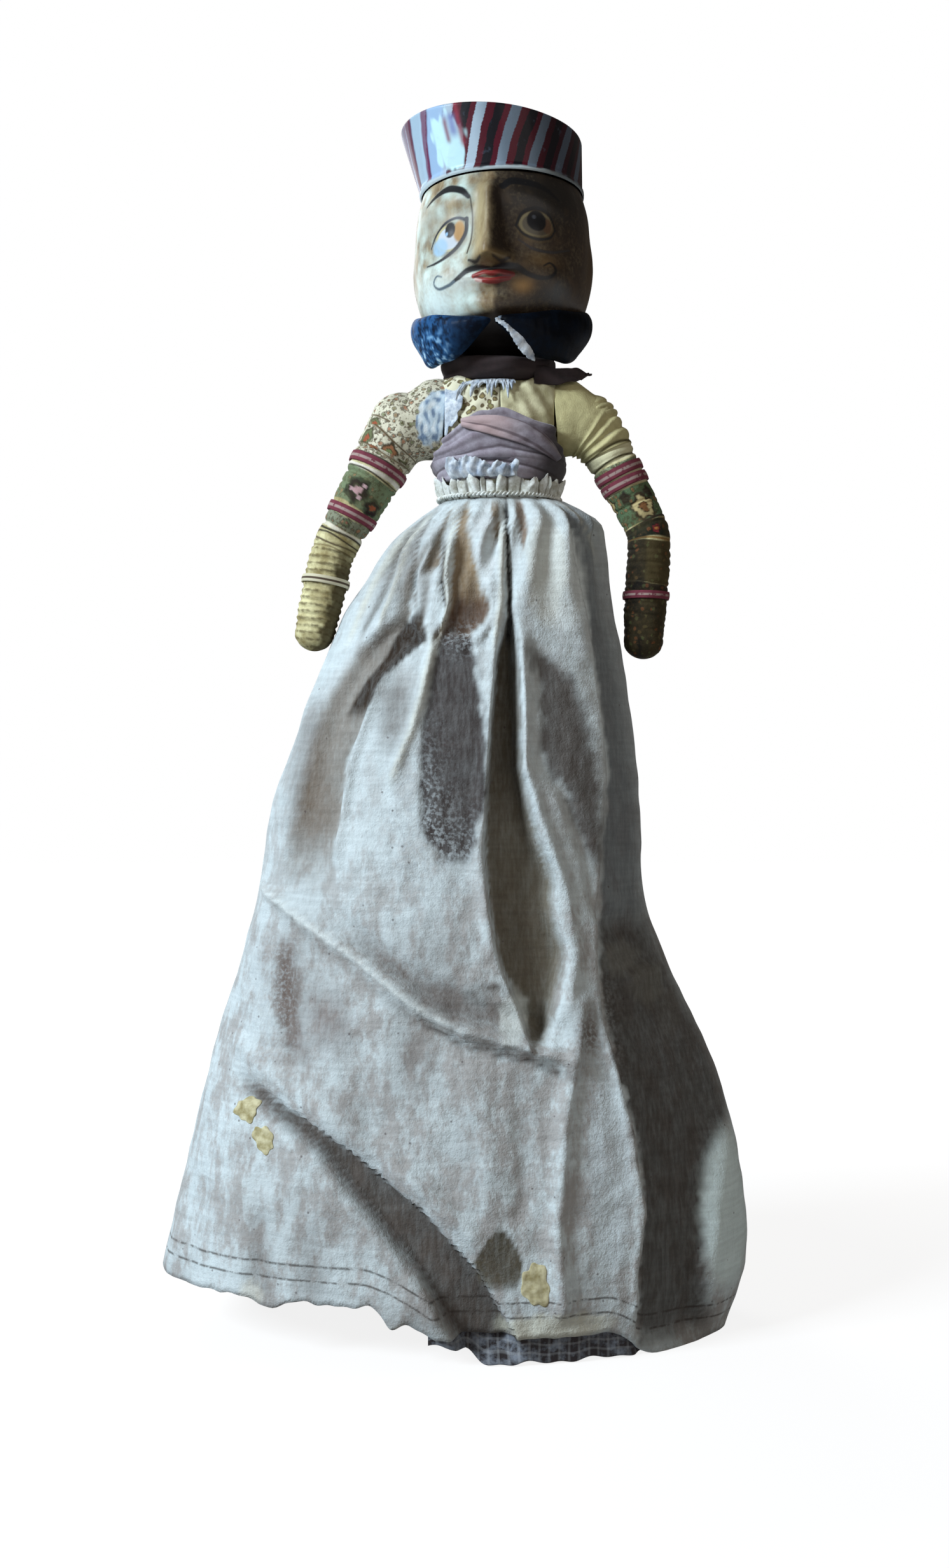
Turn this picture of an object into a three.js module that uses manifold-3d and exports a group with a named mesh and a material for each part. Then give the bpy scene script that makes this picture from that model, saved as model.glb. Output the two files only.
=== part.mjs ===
// A carved puppet in a gathered skirt: wooden head, hat, beard and chest on a turning rod,
// two stuffed arms that swing, lift and bend, and the cloth pieces that dress it.
// Millimetres, +Z up, the face looks along -Y, +X is the puppet's left side.
// The origin is the centre of the rod's foot, on the surface that the puppet stands on.
import * as THREE from 'three';
import { mergeVertices } from 'three/addons/utils/BufferGeometryUtils.js';
import Module from 'manifold-3d';

const wasm = await Module();
wasm.setup();

// Gaps
const CLEARANCE = 0.3;
const TURNING_CLEARANCE = 0.4;

// Rod and its fittings
const ROD_RADIUS = 6;
const ROD_TOP = 476;
const PIN_RADIUS = 1.25;
const COLLAR_RADIUS = 11;
const COLLAR_HEIGHT = 6;
const HEAD_NAIL_LENGTH = 44;

// Chest block and the shirt over it: height, half width, half depth
const CHEST = [[350, 17, 11], [366, 19, 12], [388, 21, 13.5], [405, 21, 13.5], [411, 18, 12]];
const SHIRT = [[367, 23.5, 15.5], [374, 26, 17.5], [388, 31, 20.5], [400, 33, 21.5],
  [409, 30, 20], [414.5, 23, 16]];
const CHEST_FOOT = CHEST[0][0];
const SHIRT_TOP = SHIRT[SHIRT.length - 1][0];
const SHIRT_SEAM = 0.3;
const NECK_HOLE_RADIUS = 8;
const SHIRT_SIDE = 24.2;

// Waist of the skirt
const WAIST = 363.5;
const RUFFLE_HEIGHT = 11;
const RUFFLE_PLEATS = 26;
const RUFFLE_DEPTH = 1.6;
const RUFFLE_WALL = 2.2;
const RUFFLE_FLARE = 0.8;
const STRING_RADIUS = 0.9;
const STRING_STEPS = 40;
const STRING_OFFSET = 4.6;

// Sash wound over the shirt
const SASH_THICKNESS = 1.7;
const SASH_LIFT = 1;
const SASH_FOOT = WAIST + RUFFLE_HEIGHT + SASH_LIFT;
const SASH_STEP = SASH_FOOT + 4.5;
const SASH_SIDE_TOP = SASH_FOOT + 14.5;
const SASH_PEAK = SASH_FOOT + 30.5;
const SASH_BACK_TOP = SASH_FOOT + 17.5;
// The fold across the sash's front: ends as [turn, height above the sash's foot], bulge, width
const SASH_FOLD = { from: [-0.5, 21.5], to: [0.85, 6.5], bulge: 3, width: 8 };
const FOLD_THICKNESS = 1.3;
const FRAY_THICKNESS = 0.8;
const FRAY = { from: -0.85, to: 0.2, rise: 3.9, width: 5 };

// Head: height, half width, half depth
const HEAD = [[415.3, 12, 12], [424, 12.4, 12.4], [430, 19, 18], [436, 28.5, 27], [443, 34.5, 33],
  [452, 38, 36.5], [464, 39, 37.5], [478, 39, 37.5], [490, 37.8, 37], [498.7, 35.6, 35.2]];
const HEAD_TURN_AT_REST = THREE.MathUtils.degToRad(-8);
const HEAD_OFFSET = 1.4;
const NECK_RADIUS = HEAD[0][1];
const NECK_TOP = HEAD[1][0];
const HEAD_FOOT = HEAD[0][0];
const HEAD_TOP = HEAD[HEAD.length - 1][0];
const HEAD_NAIL_RISE = 10;
const HEAD_NAIL_HEIGHT = NECK_TOP + HEAD_NAIL_RISE;
const HEAD_COLUMNS = 48;
const HEAD_ROWS = 24;
const HEAD_FRONT_SHARE = 0.45;
// Carved nose: height of its foot above the head's foot, its length, how far its bridge
// and ball stand out, half width
const NOSE = { rise: 42.7, length: 36, bridge: 3.5, ball: 8, width: 3.6 };
// Other carved features: place [x, height above the head's foot] on each side, relief,
// half width, half height, arch
const FEATURES = [
  { place: [18, 73.7], relief: 1.8, width: 15, rise: 4.5, arch: 0.006 },
  { place: [19, 56.7], relief: -2, width: 11, rise: 9, arch: 0 },
  { place: [19, 56.7], relief: 2.6, width: 8, rise: 5.5, arch: 0 },
  { place: [24, 40.7], relief: 1.8, width: 8, rise: 7, arch: 0 },
  { place: [0, 36.7], relief: 2.4, width: 9, rise: 3.5, arch: 0 },
  { place: [0, 25.7], relief: 3.2, width: 12, rise: 5, arch: 0 },
];
const EAR = { turn: 1.62, height: 49.7, relief: 3, width: 0.16, rise: 9 };
const UPRIGHT = new THREE.Vector3(0, 0, 1);

// Hat: it flares upwards and its top leans to the puppet's right
const HAT_FOOT = HEAD_TOP + CLEARANCE;
const HAT_HEIGHT = 27;
const HAT_FOOT_RADIUS = 35.9;
const HAT_TOP_RADIUS = 40.6;
const HAT_RIM_HEIGHT = 2.2;
const HAT_RIM_PROUD = 0.7;
const HAT_LEAN = 5;
const HAT_TILT = THREE.MathUtils.degToRad(4.5);
const DOWEL_RADIUS = 4;
const DOWEL_LENGTH = 22;

// Beard: two lobes that hang from the jaw
const BEARD_FOOT = HEAD_FOOT + 5.5;
const BEARD_TOP = BEARD_FOOT + 17.2;
const BEARD_TOP_AT_EAR = BEARD_TOP + 9;
const BEARD_INNER_RADIUS = 27.5;
const BEARD_THICKNESS = 8.5;
const BEARD_PARTING = THREE.MathUtils.degToRad(1.5);
const BEARD_END = THREE.MathUtils.degToRad(104);

// Neck cloth
const NECK_CLOTH_HEIGHT = 8;
const NECK_CLOTH_RADIUS = 21;

// Arms: side is +1 for the puppet's left arm and -1 for its right arm.
// The shoulder and elbow are joint centres; radii run from the shoulder to the finger end.
const ARMS = [
  { name: 'left', side: 1, shoulder: [41.5, 399.5], elbow: [67.5, 350], tip: [64, 293.6],
    shoulderRadius: 12, swellRadius: 10.2, elbowRadius: 9.2, palmRadius: 9.3, tipRadius: 8.2,
    bands: [0.56, 0.68], wrist: 0.5 },
  { name: 'right', side: -1, shoulder: [43.5, 398.5], elbow: [74.5, 342.5], tip: [84.5, 297.3],
    shoulderRadius: 14, swellRadius: 12, elbowRadius: 9.6, palmRadius: 9.4, tipRadius: 7.8,
    bands: [0.42, 0.86], wrist: 0.32 },
];
const CAP_RADIUS = 14.5;
const CAP_ROUNDING = 2.4;
const NAIL_RADIUS = 1.2;
const NAIL_HEAD_RADIUS = 2.6;
const NAIL_HEAD_THICKNESS = 1;
const NAIL_ROOT = 16;
const BAND_THICKNESS = 0.9;
const BAND_WIDTH = 4.5;
const WRIST_BAND_WIDTH = 3.5;

// Skirt: height, reach to the puppet's right, reach to its left, half depth
const SKIRT = [[363.5, -25.5, 29.5, 17.5], [355, -37, 43.5, 22], [345, -48, 46.5, 27], [315, -68.5, 51, 34],
  [290, -79.5, 55.5, 38], [258, -92, 61, 43], [225, -102.5, 63.5, 47], [190, -108, 65, 51],
  [157, -116.5, 76, 56], [115, -129, 96, 62], [72, -139.5, 107, 66], [27, -150.5, 110, 68],
  [0, -152, 101, 67]];
const SKIRT_WALL = 1.5;
const SKIRT_COLUMNS = 52;
const SKIRT_ROWS = 11;
const SKIRT_FRONT_SHARE = 0.48;
const SKIRT_ROW_POWER = 0.92;
const GATHERS = 22;
const GATHER_DEPTH = 0.9;

// Folds on the front of the skirt: points are [x, height], depth is inward, width is half the fold
const FRONT_FOLDS = [
  { path: [[2.5, 364], [2.5, 300]], depth: 5, width: 4 },
  { path: [[4.5, 300], [2.5, 245], [8, 215], [10, 190], [11, 155], [17, 128]], depth: 14, width: 9 },
  { path: [[15, 290], [20, 245], [31, 215], [33, 190], [29, 155], [26, 130]], depth: -6, width: 8 },
  { path: [[-20, 357], [-41, 312], [-58, 275], [-64, 240]], depth: 5, width: 6 },
  { path: [[-25, 342], [-29, 299]], depth: 3, width: 4 },
  { path: [[36, 350], [44, 250]], depth: 4, width: 6 },
  { path: [[33, 122], [25, 10]], depth: -6, width: 9 },
  { path: [[50, 165], [62, 80], [69, 10]], depth: 7, width: 11 },
];
// Folds that run aslant: points are [x, height], and the fold is measured up and down
const SLANT_FOLDS = [
  { path: [[-104, 186], [-60, 160], [-13, 133], [27, 121]], depth: -6, width: 10 },
  { path: [[-104, 172], [-60, 147], [-13, 121], [27, 109]], depth: 6, width: 8 },
  { path: [[-115, 113], [-60, 72], [-13, 34]], depth: 9, width: 12 },
];
const BACK_FOLDS = 7;
const BACK_FOLD_DEPTH = 6;

// Hem: height above the floor at the puppet's right side, and where the cloth dips
const HEM_LIFT = 25;
const HEM_WAVE = 1.4;
const HEM_WAVES = 9;
const HEM_DIP_X = -52;
const HEM_DIP_WIDTH = 9;
const HEM_FRONT_LIFT = 12;
const LINING_DEPTH = 30;
const LINING_THICKNESS = 1.6;
const LINING_FROM = -30;
const LINING_TO = 66;

// Patches sewn on the front of the skirt: centre [x, height], width, height
const PATCHES = [
  { name: 'patch_upper', centre: [-108, 100], size: [9, 10] },
  { name: 'patch_lower', centre: [-100, 89], size: [9, 11] },
  { name: 'patch_at_tear', centre: [12, 36], size: [10, 16] },
];
const PATCH_THICKNESS = 1.2;
const TORN_PATCH = { centre: [-21, 401], size: [11, 23], lean: 3, thickness: 1 };

const COLOURS = {
  paintedFace: 0xa99b62, hatPaint: 0x6b1c2b, beardPaint: 0x14161f, wood: 0x8a6238, iron: 0x4a4744,
  brownCloth: 0x3a2a2a, plainShirt: 0xa3955a, printedShirt: 0xc9bd86, blueCloth: 0xb8c4d2,
  sash: 0x84707a, skirt: 0xc5cfcb, string: 0xd8cfb4, printedArm: 0xc8bd7e, crimson: 0x8d2440,
  lining: 0x39353a, yellowCloth: 0xc4b45e,
};

// Helpers for closed solids

function welded(geometry) {
  const bare = geometry.index ? geometry.clone() : mergeVertices(geometry);
  bare.deleteAttribute('normal');
  bare.deleteAttribute('uv');
  const merged = mergeVertices(bare, 1e-4);
  const source = merged.index.array;
  const kept = [];
  for (let i = 0; i < source.length; i += 3) {
    const [a, b, c] = [source[i], source[i + 1], source[i + 2]];
    if (a !== b && b !== c && c !== a) {
      kept.push(a, b, c);
    }
  }
  merged.setIndex(kept);
  return merged;
}

function toManifold(geometry) {
  const closed = welded(geometry);
  const solid = new wasm.Manifold(new wasm.Mesh({
    numProp: 3,
    vertProperties: new Float32Array(closed.attributes.position.array),
    triVerts: new Uint32Array(closed.index.array),
  }));
  return solid;
}

function toGeometry(solid) {
  const result = solid.getMesh();
  const geometry = new THREE.BufferGeometry();
  geometry.setAttribute('position', new THREE.BufferAttribute(result.vertProperties, 3));
  geometry.setIndex(new THREE.BufferAttribute(result.triVerts, 1));
  geometry.computeVertexNormals();
  return geometry;
}

function cut(geometry, ...tools) {
  let solid = toManifold(geometry);
  for (const tool of tools) {
    solid = solid.subtract(toManifold(tool));
  }
  return toGeometry(solid);
}

// Cuts a thin piece that lies along a faceted wall, and keeps its main body without the slivers
function trim(geometry, tool) {
  const bodies = toManifold(geometry).subtract(toManifold(tool)).decompose();
  bodies.sort((a, b) => b.volume() - a.volume());
  return toGeometry(bodies[0]);
}

function reshape(geometry, move) {
  const position = geometry.attributes.position;
  const point = new THREE.Vector3();
  for (let i = 0; i < position.count; i += 1) {
    point.fromBufferAttribute(position, i);
    move(point);
    position.setXYZ(i, point.x, point.y, point.z);
  }
  return geometry;
}

function piece(name, geometry, color, roughness = 0.8, metalness = 0) {
  const mesh = new THREE.Mesh(geometry, new THREE.MeshStandardMaterial({ color, roughness, metalness }));
  mesh.name = name;
  return mesh;
}

// Smooth value of a table's column at a height; the table runs up or down without turning back
function along(table, height, column) {
  const rising = table[0][0] < table[table.length - 1][0];
  const rows = rising ? table : [...table].reverse();
  const clamped = THREE.MathUtils.clamp(height, rows[0][0], rows[rows.length - 1][0]);
  let i = 0;
  while (i < rows.length - 2 && clamped > rows[i + 1][0]) {
    i += 1;
  }
  const slope = (j) => {
    const low = rows[Math.max(j - 1, 0)];
    const high = rows[Math.min(j + 1, rows.length - 1)];
    return (high[column] - low[column]) / (high[0] - low[0]);
  };
  const span = rows[i + 1][0] - rows[i][0];
  const t = (clamped - rows[i][0]) / span;
  const t2 = t * t;
  const t3 = t2 * t;
  return (2 * t3 - 3 * t2 + 1) * rows[i][column] + (t3 - 2 * t2 + t) * span * slope(i)
    + (3 * t2 - 2 * t3) * rows[i + 1][column] + (t3 - t2) * span * slope(i + 1);
}

// A solid with elliptic sections that follow a table of [height, half width, half depth]
function tableSolid(table, grow = 0, columns = 40, rows = 14) {
  const low = table[0][0];
  const high = table[table.length - 1][0];
  const drum = new THREE.CylinderGeometry(1, 1, 1, columns, rows);
  drum.rotateX(Math.PI / 2);
  return reshape(drum, (p) => {
    const height = low + (high - low) * (p.z + 0.5);
    p.x *= along(table, height, 1) + grow;
    p.y *= along(table, height, 2) + grow;
    p.z = height;
  });
}

// An upright drum between two heights
function drum(radius, low, high, columns = 28) {
  const geometry = new THREE.CylinderGeometry(radius, radius, high - low, columns);
  geometry.rotateX(Math.PI / 2);
  geometry.translate(0, 0, (low + high) / 2);
  return geometry;
}

// A drum whose axis runs along X between two places
function crossDrum(radius, from, to, height, columns = 16) {
  const geometry = new THREE.CylinderGeometry(radius, radius, Math.abs(to - from), columns);
  geometry.rotateZ(Math.PI / 2);
  geometry.translate((from + to) / 2, 0, height);
  return geometry;
}

function block(lowX, highX, lowY, highY, lowZ, highZ) {
  const geometry = new THREE.BoxGeometry(highX - lowX, highY - lowY, highZ - lowZ);
  geometry.translate((lowX + highX) / 2, (lowY + highY) / 2, (lowZ + highZ) / 2);
  return geometry;
}

// A closed ring of cloth: place(turn, share, outer) gives each point, turn is 0 at the front
// and grows towards +X, share runs from 0 at the foot to 1 at the top
function clothRing(columns, rows, place) {
  const profile = [];
  for (let i = 0; i <= rows; i += 1) {
    profile.push(new THREE.Vector2(2, i / rows));
  }
  for (let i = rows; i >= 0; i -= 1) {
    profile.push(new THREE.Vector2(1, i / rows));
  }
  profile.push(profile[0].clone());
  const ring = new THREE.LatheGeometry(profile, columns);
  return reshape(ring, (p) => {
    const outer = Math.hypot(p.x, p.z) > 1.5;
    const turn = Math.atan2(p.x, p.z);
    p.copy(place(turn, p.y, outer));
  });
}

// Rod, collar and pins

function makeRod() {
  const rod = drum(ROD_RADIUS, 0, ROD_TOP);
  const hole = PIN_RADIUS + CLEARANCE;
  const reach = ROD_RADIUS + 1;
  const pinHoles = [HEAD_NAIL_HEIGHT, collarMiddle()].map((height) => crossDrum(hole, -reach, reach, height));
  return cut(rod, ...pinHoles);
}

function collarTop() {
  return CHEST_FOOT - CLEARANCE;
}

function collarMiddle() {
  return collarTop() - COLLAR_HEIGHT / 2;
}

function makeHeadNail() {
  return crossDrum(PIN_RADIUS, -HEAD_NAIL_LENGTH / 2, HEAD_NAIL_LENGTH / 2, HEAD_NAIL_HEIGHT);
}

function makeCollar() {
  const collar = drum(COLLAR_RADIUS, collarTop() - COLLAR_HEIGHT, collarTop());
  const bore = drum(ROD_RADIUS + CLEARANCE, collarTop() - COLLAR_HEIGHT - 1, collarTop() + 1);
  const reach = COLLAR_RADIUS + 1;
  return cut(collar, bore, crossDrum(PIN_RADIUS + CLEARANCE, -reach, reach, collarMiddle()));
}

// Chest block, bored for the rod and for the nails that carry the arms

function nailHole(arm, to) {
  const [low, high] = [NAIL_ROOT - CLEARANCE, to].map((x) => x * arm.side);
  return crossDrum(NAIL_RADIUS + CLEARANCE, low, high, arm.shoulder[1]);
}

function makeChest() {
  const bore = drum(ROD_RADIUS + TURNING_CLEARANCE, CHEST_FOOT - 1, SHIRT_TOP + 1);
  return cut(tableSolid(CHEST, 0, 28, 5), bore, ...ARMS.map((arm) => nailHole(arm, SHIRT_SIDE + 2)));
}

// Room at the shoulder for the turning cap
function capRoom(arm) {
  return crossDrum(CAP_RADIUS + 2 * CLEARANCE, SHIRT_SIDE * arm.side, 60 * arm.side, arm.shoulder[1], 40);
}

// Shirt: a left and a right half over the chest block
function makeShirtHalf(side) {
  const inner = tableSolid(CHEST, CLEARANCE, 28, 5);
  const belowChest = drum(ROD_RADIUS + TURNING_CLEARANCE, SHIRT[0][0] - 1, SHIRT_TOP + 1);
  const neck = drum(NECK_HOLE_RADIUS, CHEST[CHEST.length - 1][0] - 1, SHIRT_TOP + 1);
  const far = 60;
  const otherHalf = side > 0
    ? block(-far, SHIRT_SEAM / 2, -far, far, CHEST_FOOT, SHIRT_TOP + 5)
    : block(-SHIRT_SEAM / 2, far, -far, far, CHEST_FOOT, SHIRT_TOP + 5);
  return cut(tableSolid(SHIRT, 0, 36, 9), inner, belowChest, neck, otherHalf,
    ...ARMS.map(capRoom), ...ARMS.map((arm) => nailHole(arm, SHIRT_SIDE + 2)));
}

// A point on the shirt, pushed out by an offset
function shirtPoint(turn, height, offset) {
  const halfWidth = along(SHIRT, height, 1) + offset;
  const halfDepth = along(SHIRT, height, 2) + offset;
  return new THREE.Vector3(halfWidth * Math.sin(turn), -halfDepth * Math.cos(turn), height);
}

function bump(value, middle, width) {
  const t = (value - middle) / width;
  return Math.exp(-t * t);
}

function sashTop(turn) {
  const front = bump(turn, 0, 0.75);
  const back = 0.5 - 0.5 * Math.cos(turn);
  return SASH_SIDE_TOP + (SASH_BACK_TOP - SASH_SIDE_TOP) * back + (SASH_PEAK - SASH_SIDE_TOP) * front;
}

function makeSashLower() {
  const ring = clothRing(36, 2, (turn, share, outer) => {
    const height = SASH_FOOT + (SASH_STEP - SASH_FOOT) * share;
    return shirtPoint(turn, height, outer ? CLEARANCE + SASH_THICKNESS : CLEARANCE);
  });
  return cut(ring, ...ARMS.map(capRoom));
}

function makeSashUpper() {
  const low = SASH_STEP + CLEARANCE;
  const ring = clothRing(36, 4, (turn, share, outer) => {
    const height = low + (sashTop(turn) - low) * share;
    return shirtPoint(turn, height, outer ? CLEARANCE + SASH_THICKNESS : CLEARANCE);
  });
  return cut(ring, ...ARMS.map(capRoom));
}

// The fold that crosses the front of the sash from its peak down to the puppet's left
function makeSashFold() {
  const { from, to, bulge, width } = SASH_FOLD;
  const strip = new THREE.BoxGeometry(1, 1, 1, 12, 1, 2);
  const inner = 2 * CLEARANCE + SASH_THICKNESS;
  return reshape(strip, (p) => {
    const t = p.x + 0.5;
    const turn = THREE.MathUtils.lerp(from[0], to[0], t);
    const middle = SASH_FOOT + THREE.MathUtils.lerp(from[1], to[1], t) + bulge * Math.sin(Math.PI * t);
    const taper = 0.45 + 0.55 * Math.sin(Math.PI * Math.min(1, t + 0.12));
    const height = middle + p.z * width * taper;
    p.copy(shirtPoint(turn, height, p.y < 0 ? inner + FOLD_THICKNESS : inner));
  });
}

// Frayed edge of the shirt's lining, which shows at the foot of the sash
function makeFrayedEdge() {
  const strip = new THREE.BoxGeometry(1, 1, 1, 8, 1, 1);
  const inner = 2 * CLEARANCE + SASH_THICKNESS;
  return reshape(strip, (p) => {
    const turn = THREE.MathUtils.lerp(FRAY.from, FRAY.to, p.x + 0.5);
    const height = SASH_FOOT + FRAY.rise + p.z * FRAY.width;
    p.copy(shirtPoint(turn, height, p.y < 0 ? inner + FRAY_THICKNESS : inner));
  });
}

// Torn blue cloth on the front of the right shoulder
function makeTornPatch() {
  const strip = new THREE.BoxGeometry(1, 1, 1, 4, 1, 6);
  const patch = reshape(strip, (p) => {
    const height = TORN_PATCH.centre[1] + p.z * TORN_PATCH.size[1];
    const x = TORN_PATCH.centre[0] + p.x * TORN_PATCH.size[0] + p.z * TORN_PATCH.lean;
    const halfWidth = along(SHIRT, height, 1);
    const turn = Math.asin(THREE.MathUtils.clamp(x / halfWidth, -0.92, 0.92));
    p.copy(shirtPoint(turn, height, p.y < 0 ? 2 * CLEARANCE + TORN_PATCH.thickness : 2 * CLEARANCE));
  });
  return cut(patch, capRoom(ARMS[1]), sashRoom());
}

// The space of the sash, for what lies beside it
function sashRoom() {
  return clothRing(44, 5, (turn, share, outer) => {
    const low = SASH_FOOT - CLEARANCE;
    const height = low + (sashTop(turn) + CLEARANCE - low) * share;
    return shirtPoint(turn, height, outer ? 4 : -CLEARANCE);
  });
}

// Neck cloth: a dark roll round the neck
function makeNeckCloth() {
  const low = SHIRT_TOP + CLEARANCE;
  const inner = NECK_RADIUS + 3 * CLEARANCE;
  const profile = [
    [inner, low], [NECK_CLOTH_RADIUS - 1.5, low], [NECK_CLOTH_RADIUS, low + 2],
    [NECK_CLOTH_RADIUS - 2, low + 5], [inner + 2.5, low + NECK_CLOTH_HEIGHT - 1],
    [inner, low + NECK_CLOTH_HEIGHT], [inner, low],
  ].map(([r, z]) => new THREE.Vector2(r, z));
  const ring = new THREE.LatheGeometry(profile, 32);
  ring.rotateX(Math.PI / 2);
  return ring;
}

// Head: a barrel with a carved face

// How far the face stands out at a place on it: x across, height up
function faceRelief(x, height) {
  const up = height - HEAD_FOOT;
  const noseTop = NOSE.rise + NOSE.length;
  const down = THREE.MathUtils.clamp((noseTop - up) / NOSE.length, 0, 1);
  const underNose = THREE.MathUtils.smoothstep(up, NOSE.rise - 3.5, NOSE.rise + 1);
  const topOfNose = THREE.MathUtils.smoothstep(noseTop + 3 - up, 0, 8);
  const noseWidth = NOSE.width * (1 + down * down);
  let relief = (NOSE.bridge + NOSE.ball * down) * underNose * topOfNose * bump(x, 0, noseWidth);
  for (const { place, relief: proud, width, rise, arch } of FEATURES) {
    relief += proud * bump(up, place[1] - arch * x * x, rise) * bump(Math.abs(x), place[0], width);
  }
  return relief;
}

function earRelief(turn, height) {
  const across = bump(Math.abs(turn), EAR.turn, EAR.width);
  return EAR.relief * across * bump(height - HEAD_FOOT, EAR.height, EAR.rise);
}

// Columns of the head stand closer together on the face
function towardsFront(turn, share) {
  return turn - share * Math.sin(turn);
}

// The head stands a little to the puppet's left of its neck
function headShift(height) {
  return HEAD_OFFSET * THREE.MathUtils.smoothstep(height, NECK_TOP, NECK_TOP + 12);
}

function headBarrel(grow) {
  const barrel = new THREE.CylinderGeometry(1, 1, 1, HEAD_COLUMNS, HEAD_ROWS);
  barrel.rotateX(Math.PI / 2);
  return reshape(barrel, (p) => {
    const height = THREE.MathUtils.lerp(HEAD_FOOT, HEAD_TOP, p.z + 0.5);
    const radius = Math.hypot(p.x, p.y);
    const turn = towardsFront(Math.atan2(p.x, -p.y), HEAD_FRONT_SHARE);
    const halfWidth = along(HEAD, height, 1) + grow;
    const halfDepth = along(HEAD, height, 2) + grow;
    const facing = THREE.MathUtils.smoothstep(Math.cos(turn), 0.15, 0.6);
    const relief = facing * faceRelief(halfWidth * Math.sin(turn), height) + earRelief(turn, height);
    const x = radius * (halfWidth + relief * 0.6) * Math.sin(turn);
    const y = -radius * (halfDepth + relief) * Math.cos(turn);
    p.set(x, y, height);
    p.applyAxisAngle(UPRIGHT, HEAD_TURN_AT_REST);
    p.x += headShift(height);
  });
}

function makeHead() {
  const socket = drum(ROD_RADIUS + CLEARANCE, HEAD_FOOT - 1, ROD_TOP + CLEARANCE);
  const dowelHole = drum(DOWEL_RADIUS + CLEARANCE, HEAD_TOP - DOWEL_LENGTH / 2 - CLEARANCE, HEAD_TOP + 1);
  dowelHole.translate(HEAD_OFFSET, 0, 0);
  const reach = HEAD_NAIL_LENGTH / 2 + CLEARANCE;
  const nail = crossDrum(PIN_RADIUS + CLEARANCE, -reach, reach, HEAD_NAIL_HEIGHT);
  return cut(headBarrel(0), socket, dowelHole, nail);
}

// Hat: a flared drum with a raised rim, standing flat on the head
function makeHat() {
  const rimTop = HAT_RIM_HEIGHT / HAT_HEIGHT;
  const slope = HAT_TOP_RADIUS - HAT_FOOT_RADIUS;
  const profile = [
    [0, 0], [HAT_FOOT_RADIUS + HAT_RIM_PROUD, 0], [HAT_FOOT_RADIUS + slope * rimTop + HAT_RIM_PROUD, rimTop],
    [HAT_FOOT_RADIUS + slope * rimTop, rimTop + 0.01], [HAT_FOOT_RADIUS + slope * 0.5, 0.5],
    [HAT_TOP_RADIUS, 0.96], [HAT_TOP_RADIUS - 1.5, 1], [0, 0.985],
  ].map(([r, z]) => new THREE.Vector2(r, z * HAT_HEIGHT));
  const hat = new THREE.LatheGeometry(profile, 44);
  hat.rotateX(Math.PI / 2);
  reshape(hat, (p) => {
    const share = p.z / HAT_HEIGHT;
    p.z = HAT_FOOT + p.z - share * p.x * Math.tan(HAT_TILT);
    p.x += HEAD_OFFSET - share * HAT_LEAN;
  });
  const dowelHole = drum(DOWEL_RADIUS + CLEARANCE, HAT_FOOT - 1, HAT_FOOT + DOWEL_LENGTH / 2 + CLEARANCE);
  dowelHole.translate(HEAD_OFFSET, 0, 0);
  return cut(hat, dowelHole);
}

function makeHatDowel() {
  const middle = HAT_FOOT - CLEARANCE / 2;
  const dowel = drum(DOWEL_RADIUS, middle - DOWEL_LENGTH / 2, middle + DOWEL_LENGTH / 2, 20);
  dowel.translate(HEAD_OFFSET, 0, 0);
  return dowel;
}

// Beard lobe: sections follow the jaw from the parting to the ear
function makeBeardLobe(side) {
  const sections = 14;
  const sides = 10;
  const lobe = new THREE.CylinderGeometry(1, 1, 1, sides, sections);
  reshape(lobe, (p) => {
    const t = p.y + 0.5;
    const turn = THREE.MathUtils.lerp(BEARD_PARTING, BEARD_END, t) * side + HEAD_TURN_AT_REST;
    const rise = 0.62 * THREE.MathUtils.smoothstep(t, 0.7, 1.05);
    const drop = THREE.MathUtils.smoothstep(t, -0.1, 0.3) - rise;
    const top = THREE.MathUtils.lerp(BEARD_TOP, BEARD_TOP_AT_EAR, THREE.MathUtils.smoothstep(t, 0.35, 0.95));
    const foot = BEARD_TOP - 3 - (BEARD_TOP - 3 - BEARD_FOOT) * drop;
    const thickness = BEARD_THICKNESS * (0.75 + 0.25 * Math.sin(Math.PI * Math.min(1, t * 1.2)));
    const height = (top + foot) / 2 + p.z * (top - foot) / 2;
    const jaw = BEARD_INNER_RADIUS + 5.5 * THREE.MathUtils.smoothstep(height, 424, 446);
    const middle = jaw + thickness / 2 + side * p.x * thickness / 2;
    p.set(middle * 1.03 * Math.sin(turn) + HEAD_OFFSET, -middle * Math.cos(turn), height);
  });
  return cut(lobe, headBarrel(CLEARANCE));
}

// Arms

function direction(arm, from, to) {
  return new THREE.Vector3((to[0] - from[0]) * arm.side, 0, to[1] - from[1]);
}

// Turn that brings the -Z axis onto an arm's direction in the XZ plane
function lean(vector) {
  return Math.atan2(-vector.x, -vector.z);
}

function capFace(arm) {
  return arm.shoulder[0] - arm.shoulderRadius - CLEARANCE;
}

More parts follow.
